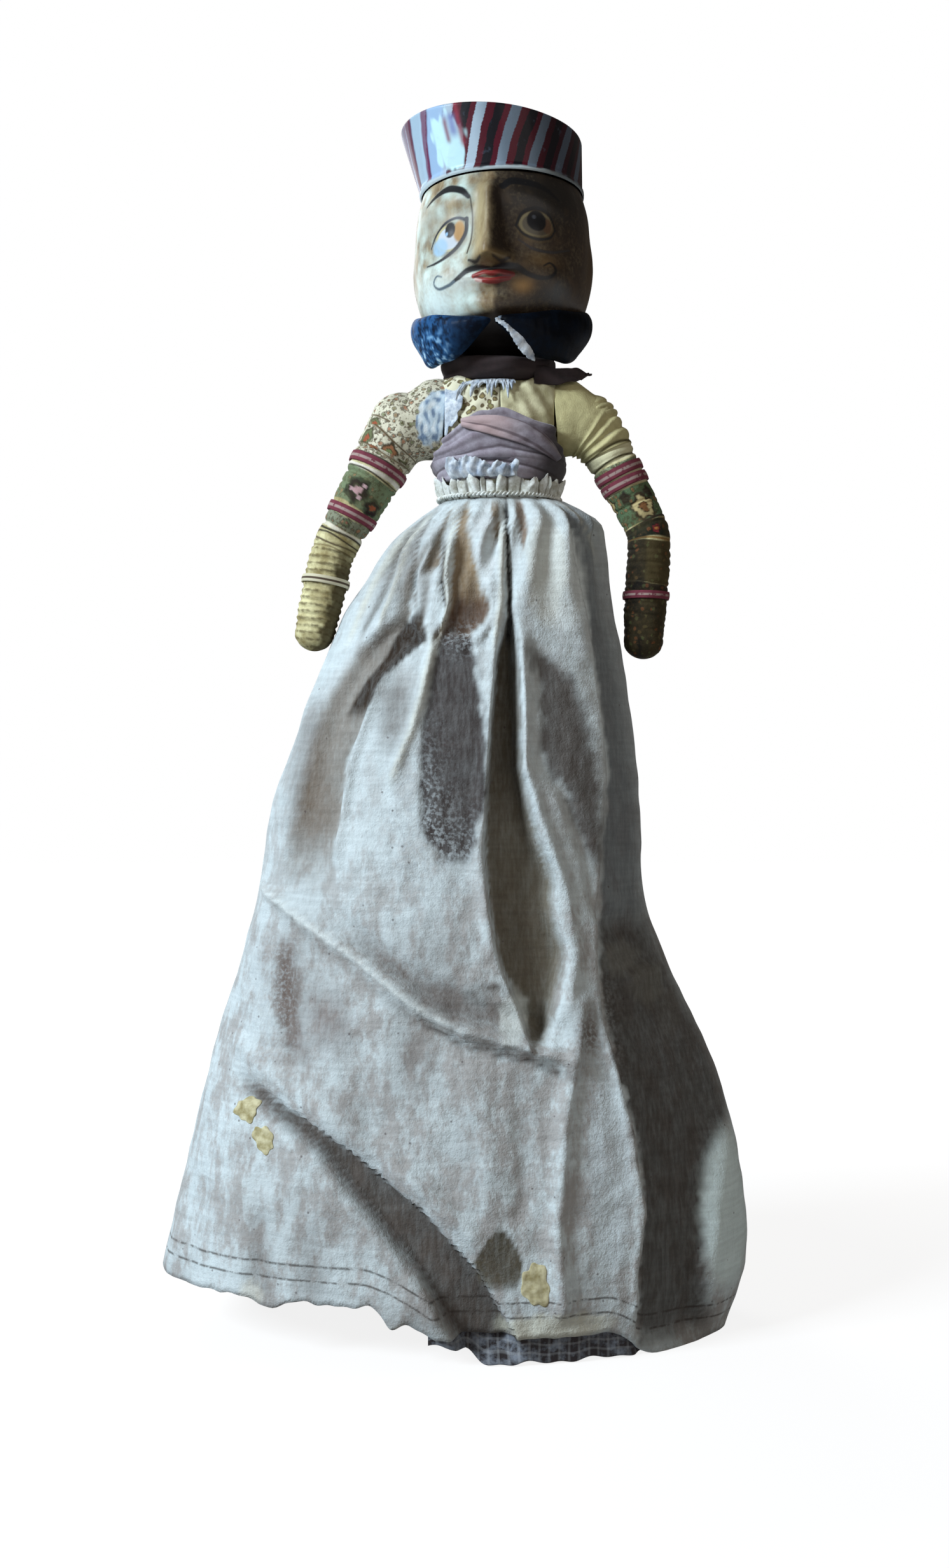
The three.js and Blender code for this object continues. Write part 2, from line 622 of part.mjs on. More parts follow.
// Shoulder cap: a flat stuffed disc that turns on the arm's nail
function makeShoulderCap(arm) {
  const inner = SHIRT_SIDE + CLEARANCE;
  const outer = capFace(arm);
  const round = CAP_ROUNDING;
  const profile = [
    [0, inner], [CAP_RADIUS - round / 2, inner], [CAP_RADIUS, inner + round / 2],
    [CAP_RADIUS, outer - round], [CAP_RADIUS - round / 2, outer - round / 3], [CAP_RADIUS - round, outer],
    [0, outer],
  ].map(([r, x]) => new THREE.Vector2(r, x));
  const cap = new THREE.LatheGeometry(profile, 24);
  cap.rotateZ(-Math.PI / 2 * arm.side);
  cap.translate(0, 0, arm.shoulder[1]);
  const recess = NAIL_HEAD_THICKNESS + 2 * CLEARANCE;
  const headRoom = crossDrum(NAIL_HEAD_RADIUS + CLEARANCE, (outer - recess) * arm.side,
    (outer + 1) * arm.side, arm.shoulder[1], 20);
  return cut(cap, nailHole(arm, outer + 2), headRoom);
}

function makeArmNail(arm) {
  const outer = capFace(arm) - CLEARANCE;
  const profile = [
    [0, NAIL_ROOT], [NAIL_RADIUS * 0.4, NAIL_ROOT], [NAIL_RADIUS, NAIL_ROOT + 3],
    [NAIL_RADIUS, outer - NAIL_HEAD_THICKNESS], [NAIL_HEAD_RADIUS, outer - NAIL_HEAD_THICKNESS],
    [NAIL_HEAD_RADIUS, outer - NAIL_HEAD_THICKNESS / 2], [NAIL_RADIUS, outer], [0, outer],
  ].map(([r, x]) => new THREE.Vector2(r, x));
  const nail = new THREE.LatheGeometry(profile, 12);
  nail.rotateZ(-Math.PI / 2 * arm.side);
  nail.translate(0, 0, arm.shoulder[1]);
  return nail;
}

// Radius of the upper arm at a share of its length
function upperRadius(arm, share) {
  const swell = Math.sin(Math.PI * THREE.MathUtils.clamp(share, 0, 1));
  const plain = THREE.MathUtils.lerp(arm.shoulderRadius, arm.elbowRadius, share);
  const middle = (arm.shoulderRadius + arm.elbowRadius) / 2;
  return plain + (arm.swellRadius - middle) * swell;
}

function foreRadius(arm, share) {
  const swell = Math.sin(Math.PI * THREE.MathUtils.clamp(share, 0, 1));
  const plain = THREE.MathUtils.lerp(arm.elbowRadius, arm.tipRadius, share);
  return plain + (arm.palmRadius - (arm.elbowRadius + arm.tipRadius) / 2) * swell;
}

// A stuffed limb hangs down from its joint centre with a round top; foot is 'cut' or 'round'
function stuffedLimb(radiusAt, length, foot) {
  const profile = [];
  const top = radiusAt(0);
  const steps = 5;
  for (let i = 0; i <= steps; i += 1) {
    const a = (i / steps) * (Math.PI / 2);
    profile.push(new THREE.Vector2(top * Math.sin(a), top * Math.cos(a)));
  }
  const end = foot === 'round' ? length - radiusAt(1) : length;
  for (let i = 1; i <= 7; i += 1) {
    const share = i / 7;
    profile.push(new THREE.Vector2(radiusAt(share * end / length), -share * end));
  }
  if (foot === 'round') {
    const last = radiusAt(end / length);
    for (let i = 1; i <= 4; i += 1) {
      const a = (i / 4) * (Math.PI / 2);
      profile.push(new THREE.Vector2(last * Math.cos(a), -end - last * Math.sin(a)));
    }
    profile[profile.length - 1].x = 0;
  } else {
    profile.push(new THREE.Vector2(0, -end));
  }
  profile[0].x = 0;
  profile.reverse();
  const limb = new THREE.LatheGeometry(profile, 16);
  limb.rotateX(Math.PI / 2);
  return limb;
}

// A ring of braid sewn round a limb
function braidRing(radius, middle, width) {
  const inner = radius + CLEARANCE;
  const outer = inner + BAND_THICKNESS;
  const half = width / 2;
  const profile = [
    [inner, -half], [outer, -half], [outer, half], [inner, half], [inner, -half],
  ].map(([r, z]) => new THREE.Vector2(r, middle + z));
  const ring = new THREE.LatheGeometry(profile, 18);
  ring.rotateX(Math.PI / 2);
  return ring;
}

function makeArm(arm) {
  const group = new THREE.Group();
  const upper = direction(arm, arm.shoulder, arm.elbow);
  const fore = direction(arm, arm.elbow, arm.tip);
  const upperLength = upper.length() - arm.elbowRadius - CLEARANCE;
  const foreLength = fore.length();

  const upperGroup = new THREE.Group();
  upperGroup.position.set(arm.shoulder[0] * arm.side, 0, arm.shoulder[1]);
  upperGroup.rotation.y = lean(upper);
  upperGroup.add(piece(`${arm.name}_upper_arm`,
    stuffedLimb((share) => upperRadius(arm, share), upperLength, 'cut'), COLOURS.printedArm));
  arm.bands.forEach((share, i) => {
    const radius = Math.max(upperRadius(arm, share - 0.05), upperRadius(arm, share + 0.05));
    upperGroup.add(piece(`${arm.name}_arm_band_${i + 1}`,
      braidRing(radius, -share * upperLength, BAND_WIDTH), COLOURS.crimson));
  });
  group.add(upperGroup);

  const foreGroup = new THREE.Group();
  foreGroup.position.set(arm.elbow[0] * arm.side, 0, arm.elbow[1]);
  foreGroup.rotation.y = lean(fore);
  foreGroup.add(piece(`${arm.name}_forearm`,
    stuffedLimb((share) => foreRadius(arm, share), foreLength, 'round'), COLOURS.printedArm));
  foreGroup.add(piece(`${arm.name}_wrist_band`,
    braidRing(foreRadius(arm, arm.wrist) + 0.1, -arm.wrist * foreLength, WRIST_BAND_WIDTH), COLOURS.crimson));
  group.add(foreGroup);

  group.add(piece(`${arm.name}_shoulder_cap`, makeShoulderCap(arm),
    arm.side > 0 ? COLOURS.plainShirt : COLOURS.printedShirt));
  group.add(piece(`${arm.name}_arm_nail`, makeArmNail(arm), COLOURS.iron, 0.5, 0.8));
  return group;
}

// Skirt

// Place of a path at a height, or its height at an x, as a straight-line table
function pathValue(path, key, at) {
  const other = 1 - key;
  const sorted = [...path].sort((p, q) => p[key] - q[key]);
  let i = 0;
  while (i < sorted.length - 2 && at > sorted[i + 1][key]) {
    i += 1;
  }
  const t = (at - sorted[i][key]) / (sorted[i + 1][key] - sorted[i][key]);
  return THREE.MathUtils.lerp(sorted[i][other], sorted[i + 1][other], THREE.MathUtils.clamp(t, 0, 1));
}

function pathFade(path, key, at, soft) {
  const values = path.map((p) => p[key]);
  const low = Math.min(...values);
  const high = Math.max(...values);
  return THREE.MathUtils.smoothstep(at, low - soft, low + soft)
    * (1 - THREE.MathUtils.smoothstep(at, high - soft, high + soft));
}

// Inward depth of the folds at a place on the front
function frontFoldDepth(x, height) {
  let depth = 0;
  for (const fold of FRONT_FOLDS) {
    depth += fold.depth * bump(x, pathValue(fold.path, 1, height), fold.width)
      * pathFade(fold.path, 1, height, 14);
  }
  for (const fold of SLANT_FOLDS) {
    depth += fold.depth * bump(height, pathValue(fold.path, 0, x), fold.width)
      * pathFade(fold.path, 0, x, 16);
  }
  return depth;
}

function skirtPoint(turn, height, inset) {
  const right = along(SKIRT, height, 1);
  const left = along(SKIRT, height, 2);
  const halfDepth = along(SKIRT, height, 3);
  const middle = (left + right) / 2;
  const halfWidth = (left - right) / 2;
  const x = middle + halfWidth * Math.sin(turn);
  const front = THREE.MathUtils.smoothstep(Math.cos(turn), 0.05, 0.45);
  const back = THREE.MathUtils.smoothstep(-Math.cos(turn), -0.1, 0.5);
  const spread = THREE.MathUtils.smoothstep(WAIST - height, 4, 60);
  const gathered = THREE.MathUtils.smoothstep(WAIST - height, 0, 8)
    * (1 - THREE.MathUtils.smoothstep(WAIST - height, 25, 70));
  const gather = GATHER_DEPTH * Math.cos(turn * GATHERS) * gathered;
  const backDepth = back * BACK_FOLD_DEPTH * spread * (0.5 - 0.5 * Math.cos(turn * BACK_FOLDS * 2));
  const nearWaist = THREE.MathUtils.smoothstep(WAIST - height, 3, 20);
  const depth = inset + front * nearWaist * frontFoldDepth(x, height) + backDepth + gather;
  return new THREE.Vector3(middle + (halfWidth - depth * Math.abs(Math.sin(turn))) * Math.sin(turn),
    -(halfDepth - depth * Math.abs(Math.cos(turn))) * Math.cos(turn), height);
}

// Height of the hem above the floor
function hemHeight(turn) {
  const [, right, left] = SKIRT[SKIRT.length - 1];
  const x = (right + left) / 2 + ((left - right) / 2) * Math.sin(turn);
  const facing = THREE.MathUtils.smoothstep(Math.cos(turn), -0.35, 0.2);
  const rightSide = 1 - THREE.MathUtils.smoothstep(x, -60, 0);
  const atFront = THREE.MathUtils.smoothstep(Math.cos(turn), 0.3, 0.8);
  const frontMiddle = atFront * (1 - THREE.MathUtils.smoothstep(x, 40, 66));
  const dip = atFront * bump(x, HEM_DIP_X, HEM_DIP_WIDTH);
  const lift = facing * Math.max(HEM_LIFT * rightSide, HEM_FRONT_LIFT * frontMiddle);
  const wave = HEM_WAVE * (1 + Math.cos(turn * HEM_WAVES)) * (1 - facing);
  return lift * (1 - dip) + wave;
}

function skirtTop() {
  return WAIST - 2 * CLEARANCE;
}

// The skirt's wall, from an outer to an inner depth
function skirtRing(outerInset, innerInset) {
  return clothRing(SKIRT_COLUMNS, SKIRT_ROWS, (turn, share, outer) => {
    const angle = towardsFront(turn, SKIRT_FRONT_SHARE);
    const down = Math.pow(1 - share, SKIRT_ROW_POWER);
    const foot = hemHeight(angle);
    const height = skirtTop() + (foot - skirtTop()) * down;
    return skirtPoint(angle, height, outer ? outerInset : innerInset);
  });
}

// The space that the skirt's wall takes up, with the gap that sewn pieces keep to it
function skirtRoom() {
  return skirtRing(-CLEARANCE, SKIRT_WALL + CLEARANCE);
}

// A flat piece that follows the front of the skirt: edges are the lowest and highest x and height
function skirtPiece(lowX, highX, lowZ, highZ, outerInset, innerInset, columns, rows) {
  const strip = new THREE.BoxGeometry(1, 1, 1, columns, 1, rows);
  return reshape(strip, (p) => {
    const x = THREE.MathUtils.lerp(lowX, highX, p.x + 0.5);
    const height = THREE.MathUtils.lerp(lowZ, highZ, p.z + 0.5);
    const middle = (along(SKIRT, height, 1) + along(SKIRT, height, 2)) / 2;
    const halfWidth = (along(SKIRT, height, 2) - along(SKIRT, height, 1)) / 2;
    const turn = Math.asin((x - middle) / halfWidth);
    p.copy(skirtPoint(turn, height, p.y < 0 ? outerInset : innerInset));
  });
}

// Dark checked cloth inside the hem, which shows below it at the front
function makeLining() {
  const inner = SKIRT_WALL + CLEARANCE + LINING_THICKNESS;
  const strip = skirtPiece(LINING_FROM, LINING_TO, 0, LINING_DEPTH, SKIRT_WALL / 2, inner, 14, 3);
  return trim(strip, skirtRoom());
}

function makePatch({ centre, size }) {
  const [x, z] = centre;
  const [width, height] = size;
  const outer = -CLEARANCE - PATCH_THICKNESS;
  const strip = skirtPiece(x - width / 2, x + width / 2, z - height / 2, z + height / 2,
    outer, SKIRT_WALL / 2, 3, 3);
  return trim(strip, skirtRoom());
}

// Ruffle: the skirt's heading above its string, drawn up in small pleats
function makeRuffle() {
  const low = WAIST + CLEARANCE;
  const columns = RUFFLE_PLEATS * 4;
  return clothRing(columns, 2, (turn, share, outer) => {
    const height = low + RUFFLE_HEIGHT * share;
    const pleat = RUFFLE_DEPTH * (0.5 + 0.5 * Math.sin(turn * RUFFLE_PLEATS)) * (0.35 + 0.65 * share);
    const wall = RUFFLE_WALL + RUFFLE_FLARE * share + pleat;
    const offset = outer ? CLEARANCE + wall : CLEARANCE;
    return shirtPoint(turn, Math.max(height, SHIRT[0][0]), offset).setZ(height);
  });
}

// Waist string: drawn tight round the foot of the ruffle, on top of the skirt
function makeString() {
  const height = skirtTop() + CLEARANCE + STRING_RADIUS;
  const ring = new THREE.TorusGeometry(1, STRING_RADIUS, 6, STRING_STEPS);
  return reshape(ring, (p) => {
    const turn = Math.atan2(p.x, -p.y);
    const beside = Math.hypot(p.x, p.y) - 1;
    p.copy(shirtPoint(turn, SHIRT[0][0], STRING_OFFSET + beside).setZ(height + p.z));
  });
}

// Assembly

const puppet = new THREE.Group();
puppet.add(piece('main_rod', makeRod(), COLOURS.wood, 0.7));
puppet.add(piece('rod_collar', makeCollar(), COLOURS.wood, 0.7));
puppet.add(piece('collar_pin',
  crossDrum(PIN_RADIUS, -COLLAR_RADIUS, COLLAR_RADIUS, collarMiddle()), COLOURS.iron, 0.5, 0.8));
puppet.add(piece('head_nail', makeHeadNail(), COLOURS.iron, 0.5, 0.8));
puppet.add(piece('head', makeHead(), COLOURS.paintedFace, 0.35));
puppet.add(piece('hat', makeHat(), COLOURS.hatPaint, 0.3));
puppet.add(piece('hat_dowel', makeHatDowel(), COLOURS.wood, 0.7));
puppet.add(piece('beard_left', makeBeardLobe(1), COLOURS.beardPaint, 0.3));
puppet.add(piece('beard_right', makeBeardLobe(-1), COLOURS.beardPaint, 0.3));
puppet.add(piece('chest_block', makeChest(), COLOURS.wood, 0.7));
puppet.add(piece('shirt_left', makeShirtHalf(1), COLOURS.plainShirt));
puppet.add(piece('shirt_right', makeShirtHalf(-1), COLOURS.printedShirt));
puppet.add(piece('neck_cloth', makeNeckCloth(), COLOURS.brownCloth));
puppet.add(piece('torn_patch', makeTornPatch(), COLOURS.blueCloth));
puppet.add(piece('sash_lower', makeSashLower(), COLOURS.sash));
puppet.add(piece('sash_upper', makeSashUpper(), COLOURS.sash));
puppet.add(piece('sash_fold', makeSashFold(), COLOURS.sash));
puppet.add(piece('frayed_edge', makeFrayedEdge(), COLOURS.blueCloth));
puppet.add(piece('waist_ruffle', makeRuffle(), COLOURS.skirt));
puppet.add(piece('waist_string', makeString(), COLOURS.string));
puppet.add(piece('skirt', skirtRing(0, SKIRT_WALL), COLOURS.skirt));
puppet.add(piece('hem_lining', makeLining(), COLOURS.lining));
for (const patch of PATCHES) {
  puppet.add(piece(patch.name, makePatch(patch), COLOURS.yellowCloth));
}
for (const arm of ARMS) {
  puppet.add(makeArm(arm));
}

export default puppet;
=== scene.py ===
"""A carved wooden rod puppet in a gathered skirt, dressed over its CAD frame."""

import math

import bmesh
import bpy
import numpy as np
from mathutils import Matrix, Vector, noise


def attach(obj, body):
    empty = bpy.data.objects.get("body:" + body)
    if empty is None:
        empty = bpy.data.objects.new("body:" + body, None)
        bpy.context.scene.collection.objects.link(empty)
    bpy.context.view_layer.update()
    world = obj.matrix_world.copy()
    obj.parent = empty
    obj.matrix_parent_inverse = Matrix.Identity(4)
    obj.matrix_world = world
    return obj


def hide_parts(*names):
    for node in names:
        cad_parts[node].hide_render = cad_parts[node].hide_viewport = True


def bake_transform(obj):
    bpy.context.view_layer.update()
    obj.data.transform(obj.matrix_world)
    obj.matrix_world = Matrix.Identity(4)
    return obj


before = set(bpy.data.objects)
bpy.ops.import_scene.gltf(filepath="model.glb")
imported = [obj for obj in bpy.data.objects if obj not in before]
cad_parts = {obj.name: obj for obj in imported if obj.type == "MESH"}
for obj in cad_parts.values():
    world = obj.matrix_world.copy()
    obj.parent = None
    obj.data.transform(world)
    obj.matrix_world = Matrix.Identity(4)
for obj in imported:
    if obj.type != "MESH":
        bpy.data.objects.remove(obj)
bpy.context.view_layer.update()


# Camera
# It stands 0.7 m in front of the puppet, level, a little to the puppet's right of the rod.
camera = bpy.data.objects.new("camera", bpy.data.cameras.new("camera"))
camera.location = (-0.0111, -0.700, 0.2377)
camera.rotation_euler = (math.radians(90), 0, 0)
camera.data.sensor_width = 36
camera.data.lens = 35.9
camera.data.clip_start = 0.01
bpy.context.collection.objects.link(camera)
bpy.context.scene.camera = camera
bpy.context.scene.view_settings.view_transform = "Standard"


# Studio
# A pale paper floor that keeps the puppet's shadow, and white paper all round it that only
# the camera sees. One large soft lamp stands at the upper left, with two weak ones.
def linear(code):
    """An sRGB hex colour as linear RGBA."""
    parts = [int(code[i:i + 2], 16) / 255 for i in (1, 3, 5)]
    return [c / 12.92 if c <= 0.04045 else ((c + 0.055) / 1.055) ** 2.4 for c in parts] + [1.0]


def fill(material, node, inputs):
    """Links or sets a node's inputs. A node stands for its own first result, a text for a hex colour."""
    for key, value in inputs.items():
        if isinstance(value, bpy.types.Node):
            value = value.outputs[2 if value.bl_idname == "ShaderNodeMix" else 0]
        if isinstance(value, bpy.types.NodeSocket):
            material.node_tree.links.new(value, node.inputs[key])
        else:
            node.inputs[key].default_value = linear(value) if isinstance(value, str) else value


def add_node(material, kind, inputs=None, **settings):
    """Adds a shader node with its settings, and links or sets its inputs. A mix is one of colours."""
    node = material.node_tree.nodes.new("ShaderNode" + kind)
    if kind == "Mix":
        node.data_type = "RGBA"
    for name, value in settings.items():
        setattr(node, name, value)
    fill(material, node, inputs or {})
    return node


def new_material(name):
    """A material, its main shader, and the results that give a place on the piece."""
    made = bpy.data.materials.new(name)
    made.use_nodes = True
    return made, made.node_tree.nodes["Principled BSDF"], add_node(made, "TexCoord").outputs


paper, shader, at = new_material("white_paper")
paper.node_tree.nodes.remove(shader)
seen = add_node(paper, "LightPath")
seen_directly = add_node(paper, "Math",
                         {0: seen.outputs["Is Camera Ray"], 1: seen.outputs["Is Glossy Ray"]},
                         operation="MAXIMUM")
seen_at_all = add_node(paper, "Math", {0: seen_directly, 1: seen.outputs["Is Transmission Ray"]},
                       operation="MAXIMUM")
matt = add_node(paper, "BsdfDiffuse", {"Color": "#7c7c7c"})
away = add_node(paper, "VectorMath", {0: at["Object"]}, operation="LENGTH")
level = add_node(paper, "MapRange", {0: away.outputs["Value"], 1: 0.22, 2: 0.70, 3: 0.86, 4: 1.0})
paper_white = add_node(paper, "Emission", {"Color": "#ffffff", "Strength": level})
dark = add_node(paper, "Emission", {"Strength": 0.0})
glow = add_node(paper, "MixShader", {0: seen_at_all, 1: dark, 2: paper_white})
paper_sum = add_node(paper, "AddShader", {0: matt, 1: glow})
fill(paper, paper.node_tree.nodes["Material Output"], {"Surface": paper_sum})

FLOOR_HALF = 4.0
floor_bm = bmesh.new()
bmesh.ops.create_grid(floor_bm, x_segments=1, y_segments=1, size=FLOOR_HALF)
floor_mesh = bpy.data.meshes.new("floor")
floor_bm.to_mesh(floor_mesh)
floor_bm.free()
floor_mesh.materials.append(paper)
floor = bpy.data.objects.new("floor", floor_mesh)
bpy.context.collection.objects.link(floor)

world = bpy.data.worlds.new("studio")
world.use_nodes = True
bpy.context.scene.world = world
world_path = add_node(world, "LightPath")
seen = world_path.outputs["Is Camera Ray"]
through = world_path.outputs["Is Transmission Ray"]
world_seen = add_node(world, "Math", {0: seen, 1: through}, operation="MAXIMUM")
lit = add_node(world, "Background", {"Color": "#fbefe2", "Strength": 0.13})
world_white = add_node(world, "Background", {"Color": "#ffffff", "Strength": 1.0})
mix = add_node(world, "MixShader", {0: world_seen, 1: lit, 2: world_white})
fill(world, world.node_tree.nodes["World Output"], {"Surface": mix})

# Each lamp: name, place, power, width, colour
LAMPS = (("key", (-1.25, -0.82, 1.00), 34, 0.5, "#e9f5ff"), ("fill", (0.7, -1.5, 0.5), 5.5, 1.2, "#fdf3ea"),
         ("rim", (-0.7, 1.3, 1.1), 9, 0.9, "#ffffff"))
LAMP_AIM = (0, 0, 0.3)
for lamp_name, place, watts, width, code in LAMPS:
    lamp = bpy.data.objects.new(lamp_name, bpy.data.lights.new(lamp_name, "AREA"))
    lamp.data.energy = watts
    lamp.data.size = width
    lamp.data.color = linear(code)[:3]
    lamp.location = place
    lamp.rotation_euler = (Vector(LAMP_AIM) - Vector(place)).to_track_quat("-Z", "Y").to_euler()
    bpy.context.collection.objects.link(lamp)


# Rod, collar, chest block and hat dowel
# Turned beech, left bare under the dress. The grain runs up the rod and shows as fine
# darker streaks. The surface was sanded and has gone grey brown with handling.
beech, shader, at = new_material("bare_beech")
GRAIN_SPACING = 0.0016
stretch = add_node(beech, "Mapping", {"Vector": at["Object"], "Scale": (1, 1, 0.06)})
grain = add_node(beech, "TexNoise", {"Vector": stretch, "Scale": 1 / GRAIN_SPACING, "Detail": 3.0})
tone = add_node(beech, "Mix", {0: grain, 6: "#7a5836", 7: "#b08d5e"})
beech_bump = add_node(beech, "Bump", {"Height": grain, "Strength": 0.25, "Distance": 0.0003})
fill(beech, shader, {"Base Color": tone, "Normal": beech_bump, "Roughness": 0.6})
for name in ("main_rod", "rod_collar", "hat_dowel", "chest_block"):
    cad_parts[name].material_slots[0].material = beech


# Nails and pins
# Cut iron wire with a dull brown oxide skin, patchy in tone.
iron, shader, at = new_material("oxidised_iron")
RUST_SIZE = 0.0012
rust = add_node(iron, "TexNoise", {"Vector": at["Object"], "Scale": 1 / RUST_SIZE})
tone = add_node(iron, "Mix", {0: rust, 6: "#3a332e", 7: "#6e6a64"})
fill(iron, shader, {"Base Color": tone, "Metallic": 0.85, "Roughness": 0.5})
for name in ("collar_pin", "head_nail", "left_arm_nail", "right_arm_nail"):
    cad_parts[name].material_slots[0].material = iron


# Skirt
# One wide piece of soiled off-white cotton, gathered at the waist and hanging in deep folds
# to the floor. It was cut as a wide panel, closed at one side, and hemmed by hand.
def smooth(value, low, high):
    """0 below low, 1 above high, and a smooth step between them."""
    t = np.clip((value - low) / (high - low), 0, 1)
    return t * t * (3 - 2 * t)


def between(value, begins, full, fades, ends):
    """0 outside, 1 from full to fades, and smooth steps between them."""
    return smooth(value, begins, full) * (1 - smooth(value, fades, ends))


def bump(value, middle, width):
    """A rounded rise of height 1 at middle."""
    return np.exp(-((value - middle) / width) ** 2)


def along(table, height, column):
    """Smooth value of a table's column at a height."""
    rows = np.array(table if table[0][0] < table[-1][0] else table[::-1], float)
    at, values = rows[:, 0], rows[:, column]
    height = np.clip(height, at[0], at[-1])
    i = np.clip(np.searchsorted(at, height, side="left") - 1, 0, len(at) - 2)
    low, high = np.maximum(i - 1, 0), np.minimum(i + 2, len(at) - 1)
    slope_low = (values[i + 1] - values[low]) / (at[i + 1] - at[low])
    slope_high = (values[high] - values[i]) / (at[high] - at[i])
    span = at[i + 1] - at[i]
    t = (height - at[i]) / span
    return ((2 * t**3 - 3 * t**2 + 1) * values[i] + (t**3 - 2 * t**2 + t) * span * slope_low
            + (3 * t**2 - 2 * t**3) * values[i + 1] + (t**3 - t**2) * span * slope_high)


def path_value(path, key, at):
    """Place of a path at a height, or its height at an x."""
    points = sorted(path, key=lambda p: p[key])
    return np.interp(at, [p[key] for p in points], [p[1 - key] for p in points])


def path_fade(path, key, at, soft):
    """1 along a path, and 0 past its two ends."""
    values = [p[key] for p in path]
    low, high = min(values), max(values)
    return between(at, low - soft, low + soft, high - soft, high + soft)


def roughness_at(points, size, seed):
    """Noise from -1 to 1 at each point, with features of that size in millimetres."""
    offset = Vector((seed * 17.3, seed * 5.1, seed * 9.7))
    return np.array([noise.noise(Vector(p) / size + offset) for p in points])


def shaped_grid(columns, rows, place):
    """A bmesh grid whose points place(u, v) puts in millimetres; u and v run from 0 to 1."""
    bm = bmesh.new()
    bm.loops.layers.uv.new("UVMap")
    bmesh.ops.create_grid(bm, x_segments=columns, y_segments=rows, size=0.5, calc_uvs=True)
    flat = np.array([v.co[:2] for v in bm.verts])
    low, high = flat.min(axis=0), flat.max(axis=0)
    u, v = ((flat - low) / (high - low)).T
    for vertex, point in zip(bm.verts, place(u, v) / 1000):
        vertex.co = point
    return bm


def paint(bm, name, values):
    """Keeps a colour with alpha, or one number, at each vertex of a bmesh."""
    if np.ndim(values) == 1:
        layer = bm.verts.layers.float.new(name)
        for vertex, value in zip(bm.verts, values):
            vertex[layer] = float(value)
        return
    layer = bm.verts.layers.float_color.new(name)
    for vertex, value in zip(bm.verts, values):
        vertex[layer] = value


def finished(name, bm, material, closed=False, thickness=0, offset=-1.0):
    """Makes the bmesh a smooth-shaded object with one material, and gives a sheet its thickness
    in metres, which grows inwards, or outwards with an offset of 1."""
    bmesh.ops.remove_doubles(bm, verts=bm.verts[:], dist=2e-6)
    if closed:
        bmesh.ops.recalc_face_normals(bm, faces=bm.faces[:])
    mesh = bpy.data.meshes.new(name)
    bm.to_mesh(mesh)
    bm.free()
    mesh.materials.append(material)
    mesh.shade_smooth()
    made = bpy.data.objects.new(name, mesh)
    bpy.context.collection.objects.link(made)
    if thickness:
        wall = made.modifiers.new("thickness", "SOLIDIFY")
        wall.thickness = thickness
        wall.offset = offset
    return made


def pushed(points, turn, amount):
    """Points moved level and outwards, each by its own amount."""
    away = np.stack([np.sin(turn), -np.cos(turn), np.zeros_like(turn)], axis=1)
    return points + away * amount[:, None]


WAIST = 363.5
SKIRT_TOP = WAIST - 0.6
CLOTH_INSET = 0.3
# The fall of the skirt: height, its right and left edge, half its depth
SKIRT = [[363.5, -25.5, 29.5, 17.5], [355, -37, 43.5, 22], [345, -48, 46.5, 27], [315, -68.5, 51, 34],
         [290, -79.5, 55.5, 38], [258, -92, 61, 43], [225, -102.5, 63.5, 47], [190, -108, 65, 51],
         [157, -116.5, 76, 56], [115, -129, 96, 62], [72, -139.5, 107, 66], [27, -150.5, 110, 68],
         [0, -152, 101, 67]]
# Ridges (depth below 0) and furrows on the front: a path of [x, height], depth, half width
FRONT_FOLDS = [
    ([[-27.5, 359], [-37, 352], [-42, 345], [-50, 330]], 1.6, 1.6),
    ([[-31, 328], [-32.5, 316], [-34, 304]], 2.4, 2.0),
    ([[-23.5, 343], [-25, 324], [-23, 312]], 2.6, 1.0),
    ([[-19, 357], [-21.5, 344], [-23.5, 328], [-22, 314], [-26, 300]], -2.6, 1.3),
    ([[-33, 356], [-44, 339], [-50, 322], [-60, 302]], 2.8, 1.6),
    ([[-30, 357], [-40, 343], [-45, 326], [-52, 306]], -2.8, 1.5),
    ([[-28, 358], [-35.5, 345], [-38, 328], [-36, 312]], 2.8, 1.3),
    ([[-40, 352], [-54, 328], [-66, 300]], -1.8, 2.4),
    ([[-8, 360], [-7.5, 335], [-4, 318]], -1.6, 3.5),
    ([[0.5, 350], [0.5, 318], [-3, 296]], -1.6, 1.8),
    ([[25.5, 362], [34, 357], [39, 349], [43, 338]], -2.4, 1.2),
    ([[21, 360], [26, 340], [32, 315], [37, 290]], -2.2, 5),
    ([[-28, 300], [-32, 281], [-37, 262], [-46, 240]], -2.2, 2.4),
    ([[-41, 297], [-52, 284], [-58, 266], [-65, 246], [-69, 225], [-72, 205]], -3.2, 3.0),
    ([[-60, 312], [-68, 292], [-78, 276]], 1.8, 5),
    ([[9, 301], [9.5, 246], [18, 219], [27, 193], [31, 167], [27, 141]], -3.5, 3.5),
    ([[15, 249], [28, 232], [36, 210], [42, 180]], 3.0, 3),
    ([[-2, 300], [-7, 246], [-10, 210], [-4, 168]], -2.0, 3),
    ([[34, 149], [30.5, 129], [25.5, 96], [22.5, 55], [25, 20]], -4.5, 3.5),
    ([[44, 136], [50, 113], [55, 90], [59, 60], [57, 20]], -3.0, 3.0),
    ([[-90, 170], [-92, 145], [-86, 120]], 2.0, 4),
    ([[-60, 130], [-52, 90], [-46, 60]], 1.6, 7),
    ([[-12, 120], [-6, 80], [-4, 55]], -1.6, 7),
    ([[6, 118], [10, 85], [8, 60]], 1.8, 5),
    ([[-128, 70], [-136, 20]], 2.2, 5),
    ([[-100, 60], [-104, 20]], 2.4, 4),
]
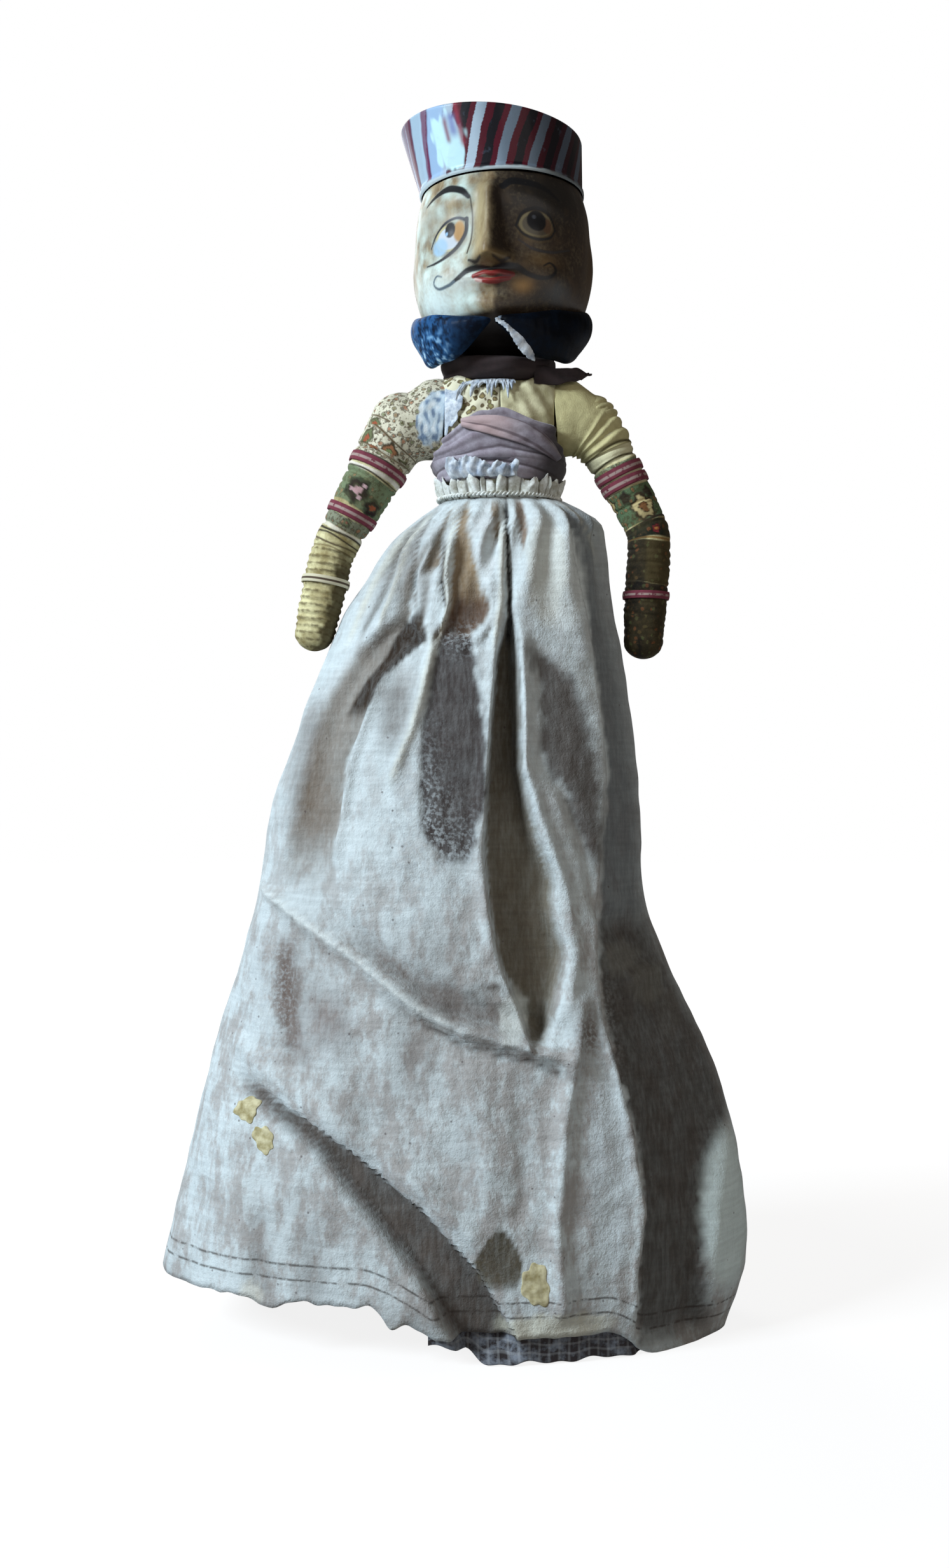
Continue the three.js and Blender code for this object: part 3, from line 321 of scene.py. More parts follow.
# The same for what runs aslant, measured up and down
SLANT_FOLDS = [
    ([[-29, 301], [-16, 297], [-8.5, 301], [-2, 309]], -2.0, 1.8),
    ([[-58, 307], [-50, 301], [-40, 298]], -2.0, 2.5),
    ([[-104, 194], [-59, 165], [-33, 145], [-16, 137], [30, 124]], -5.0, 3.0),
    ([[-33, 141], [-16, 132], [0, 128], [28, 119]], 2.6, 2.2),
    ([[-70, 182], [-33, 156], [-16, 147], [28, 133]], 4.0, 5.0),
    ([[-112, 126], [-64, 96], [-32, 73], [-5, 48]], -3.5, 5),
    ([[42, 177], [52, 163], [63, 152], [71, 157]], -3.0, 4),
    ([[-100, 226], [-70, 214], [-40, 205]], -1.6, 7),
    ([[60, 150], [80, 160], [92, 150]], -3, 7),
]
# Bands between two edges, each a path of [x, height]: how deep the cloth lies there, the
# softness of both edges and of the ends, and the colour and strength painted in it, mostly
# painted shade and in places a stain
PLEAT = ([[1, 363], [2, 348], [3, 310], [1, 301], [-1.5, 293], [-4, 265], [-5, 246], [-7, 210],
          [-5, 186], [0, 162], [9, 142], [12, 130]],
         [[4, 363], [3.5, 348], [5.5, 308], [7, 300], [8.5, 265], [9, 244], [16, 216], [23, 198], [22, 184],
          [27.5, 167], [24, 151], [19, 130]])
BANDS = [
    ([[-30, 346], [-39, 333], [-44, 322], [-46, 308], [-61, 297], [-77, 273], [-88, 233], [-93, 205]],
     [[-29, 342], [-36, 329], [-39, 308], [-33, 298], [-41, 296], [-52, 283], [-58, 265], [-64, 250],
      [-67, 233], [-70, 205]],
     8, 5.0, 2.0, 22, "#6f5f4d", 0.72),
    ([[-36, 312], [-44, 303], [-50, 292], [-60, 280], [-66, 268]],
     [[-33, 309], [-31, 299], [-41, 291], [-51, 282], [-57, 268]],
     0, 1.4, 1.2, 4, "#30261e", 0.95),
    ([[-22, 359], [-27, 348], [-31.5, 337], [-34, 329]],
     [[-20, 360], [-24, 348], [-26, 332], [-31, 327]],
     4, 1.2, 1.2, 3, "#6a573c", 0.85),
    ([[-25, 343], [-26, 324], [-24, 312]],
     [[-23, 343], [-24, 324], [-22, 312]],
     0, 0.8, 0.8, 4, "#3f3830", 0.8),
    ([[-16, 361], [-19, 348], [-20.5, 335], [-21.5, 315], [-23.5, 308], [-29, 300]],
     [[-13, 361], [-13.5, 344], [-10.5, 335], [-8.5, 324], [-3.5, 314], [-6.5, 307], [-13, 301]],
     4, 1.2, 2.2, 3, "#8a7351", 0.9),
    ([[-20, 318], [-22, 312], [-23.5, 308], [-29, 300]],
     [[-6, 320], [-3.5, 314], [-6.5, 307], [-13, 301]],
     0, 2.0, 2.0, 5, "#54403a", 0.75),
    ([[-4, 361], [-3.5, 348], [-1.5, 341]],
     [[-0.5, 361], [0, 348], [-1, 341]],
     3, 0.8, 0.8, 3, "#7a6547", 0.85),
    (*PLEAT, 14, 1.6, 3.2, 2, "#6b6455", 0.93),
    ([[0, 301], [-4, 265], [-6, 230]], [[8, 301], [9, 265], [10, 230]], 0, 1.0, 1.0, 20, "#463e31", 0.5),
    ([[1.5, 361], [3, 310], [2, 298]],
     [[3.5, 361], [5.2, 310], [6, 298]],
     0, 0.7, 0.7, 4, "#120e0c", 0.95),
    ([[6, 362], [7.5, 352], [8.5, 345], [10, 338]],
     [[9.5, 362], [12, 352], [12, 345], [10.5, 338]],
     3, 1.0, 1.0, 3, "#7a6047", 0.85),
    ([[-29, 303], [-29, 293], [-31, 281], [-33, 265], [-35, 240], [-34, 222], [-27, 205]],
     [[-13, 303], [-9, 289], [-8.5, 277], [-6, 265], [-5, 235], [-12, 205]],
     1.0, 2.5, 2.5, 4, "#3f3735", 0.94),
    ([[9, 296], [11.5, 290], [15, 281], [16.5, 265], [15, 251], [27, 233], [37, 203]],
     [[17, 296], [26, 290], [32, 283], [38, 270], [43, 248], [46, 220], [47, 203]],
     1.0, 3.5, 6.0, 8, "#50463f", 0.86),
    ([[25.5, 363], [31, 348], [35, 330], [38.5, 312], [41, 293], [44, 270], [47, 242], [45, 218],
      [42, 176]],
     [[80, 363], [90, 312], [100, 270], [120, 176]],
     7, 1.5, 8, 10, "#565b60", 0.78),
    ([[42, 180], [42, 159], [44, 136], [50, 113], [56, 90], [60, 60], [57, 37], [57, 4]],
     [[140, 180], [134, 145], [112, 122], [105, 97], [98, 83], [92, 56], [88, 37], [92, 4]],
     11, 2.2, 6, 8, "#433f3a", 0.9),
    ([[-96, 170], [-97, 145], [-90, 122]],
     [[-88, 170], [-86, 145], [-78, 122]],
     1.0, 4, 4, 8, "#6b5c54", 0.8),
    ([[-82, 150], [-84, 128]], [[-62, 150], [-58, 128]], 0, 8, 8, 10, "#786b66", 0.6),
]
# The long hollow that runs aslant to the hem: its upper and lower edge, and the folds behind
SLANT_UPPER = [[-116, 118], [-106, 112], [-64, 87], [-32, 63], [-9, 38], [10, 4]]
SLANT_LOWER = [[-116, 116], [-108, 106], [-77, 86], [-55, 62], [-34, 38], [-14, 4]]
SLANT_DEPTH = 10
BACK_FOLDS = 7
BACK_FOLD_DEPTH = 9


def band_cover(x, height, left, right, soft_left, soft_right, fade):
    """1 inside a band between two edges, 0 outside."""
    left_edge, right_edge = path_value(left, 1, height), path_value(right, 1, height)
    middle = (left_edge + right_edge) / 2
    inside = smooth(x, np.minimum(left_edge - soft_left / 2, middle - 0.6), left_edge + soft_left)
    inside *= 1 - smooth(x, right_edge - soft_right, np.maximum(right_edge + soft_right / 2, middle + 0.6))
    return inside * path_fade(left, 1, height, fade)


def slant_cover(x, height, soft):
    """1 inside the long slanting hollow, 0 outside."""
    upper, lower = path_value(SLANT_UPPER, 0, x), path_value(SLANT_LOWER, 0, x)
    inside = between(height, lower - soft, lower + soft, upper - 1.5, upper + 1.5)
    return inside * between(x, -116, -100, 0, 12)


def front_depth(x, height):
    """Inward depth of the folds at a place on the skirt's front."""
    depth = np.zeros_like(x)
    for path, fold_depth, width in FRONT_FOLDS:
        depth += fold_depth * bump(x, path_value(path, 1, height), width) * path_fade(path, 1, height, 6)
    for path, fold_depth, width in SLANT_FOLDS:
        depth += fold_depth * bump(height, path_value(path, 0, x), width) * path_fade(path, 0, x, 8)
    for left, right, band_depth, soft_left, soft_right, fade, _, _ in BANDS:
        wide = np.abs(path_value(right, 1, height) - path_value(left, 1, height))
        cover = band_cover(x, height, left, right, soft_left, soft_right, fade)
        depth += band_depth * cover * (0.45 + 0.55 * smooth(wide, 1, 11))
    return depth + SLANT_DEPTH * slant_cover(x, height, 5)


def skirt_point(turn, height, inset):
    """A point of the skirt; turn is 0 at the front and grows towards the puppet's left."""
    right, left, half_depth = (along(SKIRT, height, column) for column in (1, 2, 3))
    middle, half_width = (left + right) / 2, (left - right) / 2
    x = middle + half_width * np.sin(turn)
    front = smooth(np.cos(turn), 0.05, 0.45)
    back = smooth(-np.cos(turn), -0.1, 0.5)
    below = WAIST - height
    uneven = 0.9 * np.sin(turn * 3 + 1) + 0.5 * np.sin(turn * 7)
    gather = (1.3 * np.cos(turn * 24 + uneven) + 1.2 * np.cos(turn * 13 - uneven)) * smooth(below, -2, 9)
    gather *= 1 - 0.8 * smooth(below, 18, 60) - 0.2 * smooth(below, 50, 110)
    sway = 0.9 * np.sin(turn * 3) + 0.004 * below * np.sin(turn * 5)
    back_wave = 0.5 - 0.5 * np.cos(turn * BACK_FOLDS * 2 + sway)
    back_depth = back * BACK_FOLD_DEPTH * smooth(below, 4, 60) * back_wave**1.6
    back_depth = back_depth * (0.75 + 0.25 * np.sin(turn * 5))
    depth = inset + front * smooth(below, 3, 20) * front_depth(x, height) + back_depth + gather
    return np.stack([middle + (half_width - depth * np.abs(np.sin(turn))) * np.sin(turn),
                     -(half_depth - depth * np.abs(np.cos(turn))) * np.cos(turn), height], axis=1)


def hem_height(turn, frayed=1):
    """Height of the hem above the floor."""
    x = (SKIRT[-1][1] + SKIRT[-1][2]) / 2 + (SKIRT[-1][2] - SKIRT[-1][1]) / 2 * np.sin(turn)
    facing = np.where(turn < 0, smooth(np.cos(turn), -0.85, -0.35), smooth(np.cos(turn), -0.35, 0.2))
    at_front = smooth(np.cos(turn), 0.3, 0.8)
    front_middle = at_front * (1 - smooth(x, 40, 66))
    dip = 0.26 * bump(x, -48, 5) + 0.14 * bump(x, -99, 6) + 0.03 * np.sin(x / 3.1 + 1) * np.sin(x / 7.7)
    dip = frayed * at_front * (dip + 0.012 * np.sin(x / 1.3))
    lift = facing * np.maximum(25 * (1 - smooth(x, -60, 0)), 12 * front_middle)
    return lift * (1 - dip) + 1.4 * (1 + np.cos(turn * 9)) * (1 - facing)


def wrinkled_skirt(turn, height, inset):
    """Points of the skirt with the small wrinkles of its cloth."""
    points = skirt_point(turn, height, inset)
    wrinkle = 1.1 * roughness_at(points * (1, 1, 0.35), 16, 1)
    wrinkle = wrinkle + 0.5 * roughness_at(points * (1, 1, 0.6), 6, 2)
    return pushed(points, turn, wrinkle * smooth(WAIST - height, 6, 40))


def to_skirt(u, v):
    turn = (u - 0.5) * 2 * math.pi
    turn = turn - 0.72 * np.sin(turn)
    foot = hem_height(turn)
    height = SKIRT_TOP + (foot - SKIRT_TOP) * (1 - v) ** 0.95
    return wrinkled_skirt(turn, height, CLOTH_INSET)


SKIRT_COLUMNS, SKIRT_ROWS = 330, 138
skirt_bm = shaped_grid(SKIRT_COLUMNS, SKIRT_ROWS, to_skirt)
skirt_places = np.array([v.co for v in skirt_bm.verts]) * 1000
# Soft brown spots, partly stains and partly painted shade: centre [x, height], half width, half height,
# strength
BROWN_SPOTS_AND_SHADE = [(-84, 235, 10, 34, 0.7), (-80, 262, 6, 14, 0.5), (-50, 172, 50, 8, 0.2), (-88, 150, 4, 16, 0.7),
         (-60, 60, 50, 14, 0.25), (-100, 36, 6, 20, 0.6), (-140, 20, 8, 12, 0.35), (-78, 36, 7, 16, 0.55),
         (-20, 146, 16, 8, 0.7), (-36, 128, 12, 20, 0.45), (-14, 92, 6, 18, 0.25), (10, 104, 4, 22, 0.3),
         (-46, 262, 6, 12, 0.6), (-24, 160, 14, 20, 0.35), (-44, 275, 8, 10, 0.6), (36, 134, 6, 10, 0.8),
         (-84, 152, 20, 26, 0.4), (-30, 20, 30, 8, 0.5), (-40, 336, 9, 14, 0.5), (-52, 322, 8, 14, 0.35),
         (-60, 100, 14, 20, 0.3)]
# Painted shade along the slanting crease and a painted highlight on its ridge: path, half width, colour,
# strength
CREASE_LIGHT_AND_SHADE = [([[-33, 139], [-16, 131], [0, 127], [30, 117]], 1.6, "#3a3129", 0.8),
               ([[-100, 187], [-59, 158], [-33, 139]], 2.5, "#5a5048", 0.35),
               ([[-60, 174], [-33, 153], [-14, 144], [8, 139]], 5.0, "#5b4f48", 0.6),
               ([[-104, 192], [-59, 164], [-33, 144], [-16, 136]], 1.8, "#e3ebe9", 0.8),
               ([[-13, 152], [-4, 154], [5, 151]], 1.0, "#4d443c", 0.8)]
# Places painted paler as highlight, and a few darker as shade: centre [x, height], half width, half height,
# colour, strength
LIGHT_AND_SHADE_PLACES = [(99, 54, 15, 36, "#e2f5f6", 1.0), (26, 326, 13, 26, "#e6f0f0", 0.6),
         (45, 76, 10, 46, "#d8e6ec", 0.55), (22, 16, 26, 7, "#d9dac8", 0.75),
         (-104, 26, 6, 6, "#e6e6d8", 0.5), (5, 141, 7, 11, "#cfd6d3", 0.85),
         (52, 163, 9, 7, "#7d7e78", 0.6), (64, 151, 9, 10, "#77776f", 0.55),
         (74, 138, 6, 12, "#6a6964", 0.45), (-44, 10, 9, 8, "#e3e4da", 0.7),
         (20, 330, 10, 26, "#d3d4c8", 0.45), (-6, 340, 4, 22, "#d5dadb", 0.4)]
# Painted glints, small white specks where the cloth glitters: centre [x, height], half width, half height,
# strength
GLINT_PLACES = [(-102, 140, 14, 40, 0.9), (-24, 204, 22, 20, 0.8), (-38, 229, 13, 30, 0.9),
          (-12, 299, 13, 6, 1.0), (40, 74, 10, 48, 1.0), (37, 134, 8, 20, 0.9), (26, 29, 16, 9, 0.7),
          (-126, 70, 12, 40, 0.7), (-60, 60, 50, 40, 0.35), (-10, 100, 30, 30, 0.3),
          (-50, 170, 40, 20, 0.3), (62, 290, 8, 50, 0.3)]
SPOT_BROWN, PAINTED_SHADE_BROWN, TEAR_SHADE_BROWN = "#655b54", "#453b33", "#4a4029"
front_x, front_z = skirt_places[:, 0], skirt_places[:, 2]
in_front = smooth(-skirt_places[:, 1], -4, 14)
ragged = 2.0 * roughness_at(skirt_places, 5, 41) + 1.2 * roughness_at(skirt_places, 2.2, 42)


def laid_over(colours, code, cover):
    """Lays a colour with that cover over RGBA colours, one for each vertex."""
    share = np.clip(cover, 0, 1)[:, None]
    total = share + colours[:, 3:] * (1 - share)
    mixed = np.array(linear(code)[:3]) * share + colours[:, :3] * colours[:, 3:] * (1 - share)
    colours[:, :3] = np.where(total > 1e-4, mixed / np.maximum(total, 1e-4), 0)
    colours[:, 3:] = total


# What is laid on the skirt, one colour a vertex: stains, and painted shade and highlights in its folds
soil_light_and_shade = np.zeros((len(skirt_places), 4))
behind = 0.3 * (1 - in_front) * (0.5 + 0.9 * roughness_at(skirt_places * (1, 1, 0.5), 40, 5))
laid_over(soil_light_and_shade, SPOT_BROWN, behind)
# stains, and painted shade where folds shade the cloth
for x, height, width, rise, strength in BROWN_SPOTS_AND_SHADE:
    laid_over(soil_light_and_shade, SPOT_BROWN, strength * bump(front_x, x, width) * bump(front_z, height, rise) * in_front)
# painted shade in the long slanting hollow
laid_over(soil_light_and_shade, PAINTED_SHADE_BROWN, 0.9 * slant_cover(front_x, front_z, 4) * in_front)
# painted shade below the crease, and a painted highlight along its ridge
for path, width, code, strength in CREASE_LIGHT_AND_SHADE:
    cover = bump(front_z + 0.6 * ragged, path_value(path, 0, front_x), width)
    laid_over(soil_light_and_shade, code, strength * (cover * path_fade(path, 0, front_x, 8)) * in_front)
# the bands painted darker, mostly as shade in the hollows and on the side away from the lamp, in places as
# stains
for left, right, _, soft_left, soft_right, fade, code, strength in BANDS:
    wavy = ragged * min(1, soft_left / 2.5)
    cover = band_cover(front_x + wavy, front_z + wavy, left, right, soft_left, soft_right, fade)
    laid_over(soil_light_and_shade, code, strength * cover * in_front)
# The small pleats under the gathers: a painted highlight on their ridges, painted shade between
PLEAT_FOOT, PLEAT_WIDTH = 290, 2.5
for path, depth, width in FRONT_FOLDS:
    if width <= PLEAT_WIDTH and path[0][1] > PLEAT_FOOT:
        cover = bump(front_x + 0.3 * ragged, path_value(path, 1, front_z), 0.75 * width)
        code, strength = ("#dcdccc", 0.5) if depth < 0 else ("#54483a", 0.6)
        laid_over(soil_light_and_shade, code, strength * (cover * path_fade(path, 1, front_z, 6)) * in_front)
# painted highlights, and painted shade in a few places
for x, height, width, rise, code, strength in LIGHT_AND_SHADE_PLACES:
    cover = smooth(bump(front_x + ragged, x, width) * bump(front_z + ragged, height, rise), 0.3, 0.6)
    laid_over(soil_light_and_shade, code, strength * cover * in_front)
# The torn hole above the hem: a ragged triangle painted dark as the shade seen through the hole
tear = band_cover(front_x + 0.6 * ragged, front_z, [[-1, 58], [-6, 53], [-11, 44], [-10, 33]],
                  [[0, 58], [4, 53], [9, 44], [7, 33]], 1, 1, 2)
laid_over(soil_light_and_shade, TEAR_SHADE_BROWN, 0.9 * tear * in_front)
paint(skirt_bm, "soil_light_and_shade", soil_light_and_shade)
wear_and_light = (1 - smooth(front_z + 14 * roughness_at(skirt_places, 30, 9), 150, 260)) * 0.62 + 0.38
paint(skirt_bm, "wear_and_light", wear_and_light * (0.55 + 0.45 * in_front))
# painted glints, kept out of the slanting hollow and the slit
glints = np.zeros(len(skirt_places))
for x, height, width, rise, strength in GLINT_PLACES:
    glints += strength * bump(front_x, x, width) * bump(front_z, height, rise) * in_front
in_slit = band_cover(front_x, front_z, *PLEAT, 1.6, 3.2, 2)
glints *= (1 - slant_cover(front_x, front_z, 5)) * (1 - in_slit)
paint(skirt_bm, "glints", np.clip(glints, 0, 1))
HEM_MIDDLE, HEM_FLATNESS = 25, 1.9
hem_turn = np.arctan2(front_x + HEM_MIDDLE, -skirt_places[:, 1] * HEM_FLATNESS)
paint(skirt_bm, "above_hem", front_z - hem_height(hem_turn, frayed=0))

# Plain-woven unbleached cotton: matt, clouded with soil, and carrying the painted shade,
# highlights and glints laid on the skirt. Its threads are too fine to show, so they are drawn
# 0.7 mm apart, and their streaks 1.6 and 1.8 mm apart.
cotton, shader, at = new_material("soiled_cotton")
THREAD_SPACING, WARP_SPACING, WEFT_SPACING = 0.0007, 0.0016, 0.0018
CLOUD_SIZE, CRUMPLE_SIZE, FOXING_SIZE = 0.0095, 0.011, 0.005
SPOT_SPACING, SPECK_SIZE = 0.009, 0.0016
weave = add_node(cotton, "TexNoise", {"Vector": at["Object"], "Scale": 1 / THREAD_SPACING, "Detail": 2.0})
hang = add_node(cotton, "Mapping", {"Vector": at["Object"], "Scale": (1, 1, 0.48)})
soft = add_node(cotton, "TexNoise", {"Vector": hang, "Scale": 1 / CLOUD_SIZE, "Detail": 9.0,
                                     "Roughness": 0.7})
foxing = add_node(cotton, "TexNoise", {"Vector": at["Object"], "Scale": 1 / FOXING_SIZE, "Detail": 5.0,
                                       "Roughness": 0.7})
speck = add_node(cotton, "TexVoronoi",
                 {"Vector": at["Object"], "Scale": 1 / SPOT_SPACING, "Randomness": 1.0})
blot = add_node(cotton, "TexNoise", {"Vector": at["Object"], "Scale": 1 / CRUMPLE_SIZE, "Detail": 5.0,
                                     "Roughness": 0.6})
cotton_soil_light_and_shade = add_node(cotton, "Attribute", attribute_name="soil_light_and_shade")
cotton_worn = add_node(cotton, "Attribute", attribute_name="wear_and_light")
mottle = add_node(cotton, "MapRange", {0: soft, 1: 0.42, 2: 0.60, 4: 0.95}, interpolation_type="SMOOTHSTEP")
mottled = add_node(cotton, "Math", {0: mottle, 1: cotton_worn.outputs["Fac"]}, operation="MULTIPLY")
base = add_node(cotton, "Mix", {0: mottled, 6: "#d2dee1", 7: "#adacaa"})
long = add_node(cotton, "Mapping", {"Vector": at["Object"], "Scale": (1, 1, 0.16)})
warp = add_node(cotton, "TexNoise", {"Vector": long, "Scale": 1 / WARP_SPACING, "Detail": 4.0,
                                     "Roughness": 0.6})
cotton_wide = add_node(cotton, "Mapping", {"Vector": at["Object"], "Scale": (0.10, 0.10, 1)})
weft = add_node(cotton, "TexNoise", {"Vector": cotton_wide, "Scale": 1 / WEFT_SPACING, "Detail": 3.0})
threads = add_node(cotton, "Math", {0: warp, 1: 0.6, 2: weft}, operation="MULTIPLY_ADD")
thready = add_node(cotton, "MapRange", {0: threads, 1: 0.62, 2: 0.98, 3: 1.04, 4: 0.83})
uneven = add_node(cotton, "MapRange", {0: warp, 1: 0.34, 2: 0.62, 3: 0.93, 4: 1.03})
mask = add_node(cotton, "Math", {0: cotton_soil_light_and_shade.outputs["Alpha"], 1: uneven}, operation="MULTIPLY",
                use_clamp=True)
# the stains and the painted shade and highlights over the mottled cloth
stained_and_shaded = add_node(cotton, "Mix", {0: mask, 6: base, 7: cotton_soil_light_and_shade.outputs["Color"]})
# painted glints: small pale specks laid over the cloth
cotton_glints = add_node(cotton, "Attribute", attribute_name="glints")
grit = add_node(cotton, "TexNoise", {"Vector": at["Object"], "Scale": 1 / SPECK_SIZE, "Detail": 2.0,
                                     "Roughness": 0.55})
glint_specks = add_node(cotton, "MapRange", {0: grit, 1: 0.46, 2: 0.64, 4: 0.72})
line = add_node(cotton, "Math", {0: glint_specks, 1: cotton_glints.outputs["Fac"]}, operation="MULTIPLY")
glinting = add_node(cotton, "Mix", {0: line, 6: stained_and_shaded, 7: "#bcc6ca"})
dot = add_node(cotton, "MapRange", {0: speck.outputs["Distance"], 1: 0.04, 2: 0.07, 3: 0.6, 4: 0.0})
dotted = add_node(cotton, "Mix", {0: dot, 6: glinting, 7: "#4a3c3c"})
cotton_rise = add_node(cotton, "Attribute", attribute_name="above_hem")
HEM_STITCHES = (9.0, 15.0)
sewn = dotted
for rise in HEM_STITCHES:
    off = add_node(cotton, "Math", {0: cotton_rise.outputs["Fac"], 1: rise}, operation="SUBTRACT")
    near = add_node(cotton, "Math", {0: off}, operation="ABSOLUTE")
    cotton_seam = add_node(cotton, "MapRange", {0: near, 1: 0.15, 2: 0.75, 3: 0.75, 4: 0.0})
    gappy = add_node(cotton, "MapRange", {0: foxing, 1: 0.40, 2: 0.52})
    stitch = add_node(cotton, "Math", {0: cotton_seam, 1: gappy}, operation="MULTIPLY")
    sewn = add_node(cotton, "Mix", {0: stitch, 6: sewn, 7: "#3a322c"})
woven = add_node(cotton, "Mix", {0: 0.75, 6: sewn, 7: thready}, blend_type="MULTIPLY")
relief = add_node(cotton, "Math", {0: foxing, 1: 0.8, 2: weave}, operation="MULTIPLY_ADD")
crumple = add_node(cotton, "Bump", {"Height": blot, "Strength": 0.55, "Distance": 0.003})
cotton_bump = add_node(cotton, "Bump",
                       {"Height": relief, "Strength": 0.35, "Distance": 0.0006, "Normal": crumple})
fill(cotton, shader, {"Base Color": woven, "Normal": cotton_bump, "Roughness": 0.92,
                      "Specular IOR Level": 0.2, "Sheen Weight": 0.15})

skirt = finished("skirt_cloth", skirt_bm, cotton, thickness=0.0006)
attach(skirt, "body")
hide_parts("skirt")


# Hem lining and patches
# A strip of dark checked cotton sewn inside the front hem, which shows below it, and scraps
# of yellow cotton that were darned over holes. Their raw edges are wavy and lie flat.
def skirt_turn(x, height):
    """The turn round the skirt's front at an x and a height."""
    right, left = along(SKIRT, height, 1), along(SKIRT, height, 2)
    return np.arcsin(np.clip((x - (left + right) / 2) / ((left - right) / 2), -0.999, 0.999))


def on_skirt(x, height, outwards):
    """Points on the front of the skirt cloth, that far outside it."""
    return wrinkled_skirt(skirt_turn(x, height), height, CLOTH_INSET - outwards)


LINING_FROM, LINING_TO, LINING_DEPTH = -30, 66, 28


def to_lining(u, v):
    x = LINING_FROM + (LINING_TO - LINING_FROM) * u
    foot = 0.6 + 9 * (1 - smooth(u, 0.0, 0.3)) + 1.2 * np.sin(u * 11) ** 2 + 0.5 * np.sin(u * 47)
    height = foot + (LINING_DEPTH - foot) * v
    points = on_skirt(x, height, -2.4)
    points[:, 1] += 0.5 * roughness_at(points, 7, 8)
    return points


def blotched(material, place, size, span, dark, pale, detail=6.0, roughness=0.5):
    """Two colours in blotches of that size, in metres: their noise and their colour."""
    blots = add_node(material, "TexNoise",
                     {"Vector": place, "Scale": 1 / size, "Detail": detail, "Roughness": roughness})
    share = add_node(material, "MapRange", {0: blots, 1: span[0], 2: span[1]})
    return blots, add_node(material, "Mix", {0: share, 6: dark, 7: pale})


# Checks: dark brown and grey cotton, dusty, with thin pale lines crossing every 4 mm
checks, shader, at = new_material("dark_checked_cotton")
CHECK_SPACING, DUST_SIZE = 0.0042, 0.006
checks_lines = []
for axis in range(2):
    split = add_node(checks, "SeparateXYZ", {0: at["UV"]})
    spread = (LINING_TO - LINING_FROM, LINING_DEPTH)[axis] / 1000
    count = add_node(checks, "Math", {0: split.outputs[axis], 1: spread / CHECK_SPACING},
                     operation="MULTIPLY")
    wave = add_node(checks, "Math", {0: count}, operation="FRACT")
    checks_lines.append(add_node(checks, "MapRange", {0: wave, 1: 0.70, 2: 0.82}).outputs[0])
both = add_node(checks, "Math", {0: checks_lines[0], 1: checks_lines[1]}, operation="ADD")
_, ground = blotched(checks, at["Object"], DUST_SIZE, (0.44, 0.62), "#231d1f", "#747b85", 6.0, 0.65)
faint = add_node(checks, "Math", {0: both, 1: 0.22}, operation="MULTIPLY")
tone = add_node(checks, "Mix", {0: faint, 6: ground, 7: "#a9adb0"})
fill(checks, shader, {"Base Color": tone, "Roughness": 0.95})
lining = finished("hem_lining_cloth", shaped_grid(110, 34, to_lining), checks, thickness=0.0005)
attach(lining, "body")
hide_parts("hem_lining")

# Thin yellow cotton, matt and faded in blotches a few millimetres wide
yellow, shader, at = new_material("yellow_cotton")
YELLOW_BLOTCH = 0.0035
yellow_fade, tone = blotched(yellow, at["Object"], YELLOW_BLOTCH, (0.35, 0.65), "#968b5f", "#d3cda8")
yellow_bump = add_node(yellow, "Bump", {"Height": yellow_fade, "Strength": 0.6, "Distance": 0.0006})
fill(yellow, shader, {"Base Color": tone, "Normal": yellow_bump, "Roughness": 0.95})


def rounded(u, v, cut):
    """A square grid from -1 to 1 pushed towards a round outline."""
    a, b = u * 2 - 1, v * 2 - 1
    return a * np.sqrt(1 - cut * b * b), b * np.sqrt(1 - cut * a * a)


# Each patch: CAD node, centre [x, height], width, height, lean, a number for its ragged outline
PATCHES = [("patch_upper", -108, 100, 9, 10, -0.5, 3), ("patch_lower", -100, 89, 9, 11, 0.4, 7),
           ("patch_at_tear", 14, 34, 11, 17, 0.15, 11)]
for node_name, centre_x, centre_z, wide, tall, tilt, seed in PATCHES:
    def to_patch(u, v):
        x, z = rounded(u, v, 0.42)
        angle = np.arctan2(z, x)
        reach = 1 + 0.10 * np.sin(3 * angle + seed) + 0.08 * np.sin(7 * angle + 2 * seed)
        x, z = x * reach * wide / 2, z * reach * tall / 2
        x, z = x * math.cos(tilt) - z * math.sin(tilt), x * math.sin(tilt) + z * math.cos(tilt)
        edge = smooth(np.maximum(np.abs(u * 2 - 1), np.abs(v * 2 - 1)), 0.7, 1.0)
        points = on_skirt(centre_x + x, centre_z + z, 0.0)
        points[:, 1] -= 0.5 - 0.3 * edge + 0.25 * roughness_at(points, 2.5, seed)
        return points

    patch = finished(f"{node_name}_cloth", shaped_grid(22, 24, to_patch), yellow, thickness=0.0004)
    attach(patch, "body")
    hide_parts(node_name)


# Shirt
# Two halves of thin cotton drawn over the chest block and joined down the middle: printed
# with small leaves on the puppet's right, plain olive yellow on its left.
# The chest: height, half width, half depth
SHIRT = [[367, 23.5, 15.5], [374, 26, 17.5], [388, 31, 20.5], [400, 33, 21.5], [409, 30, 20],
         [414.5, 23, 16]]
SHIRT_FOOT, SHIRT_TOP = SHIRT[0][0], SHIRT[-1][0]
SHIRT_SIDE = 24.2
CAP_RADIUS = 14.5
SHOULDER_HEIGHT = 399


def shirt_point(turn, height, outwards):
    """A point round the shirt, that far outside it."""
    return np.stack([(along(SHIRT, height, 1) + outwards) * np.sin(turn),
                     -(along(SHIRT, height, 2) + outwards) * np.cos(turn), height], axis=1)


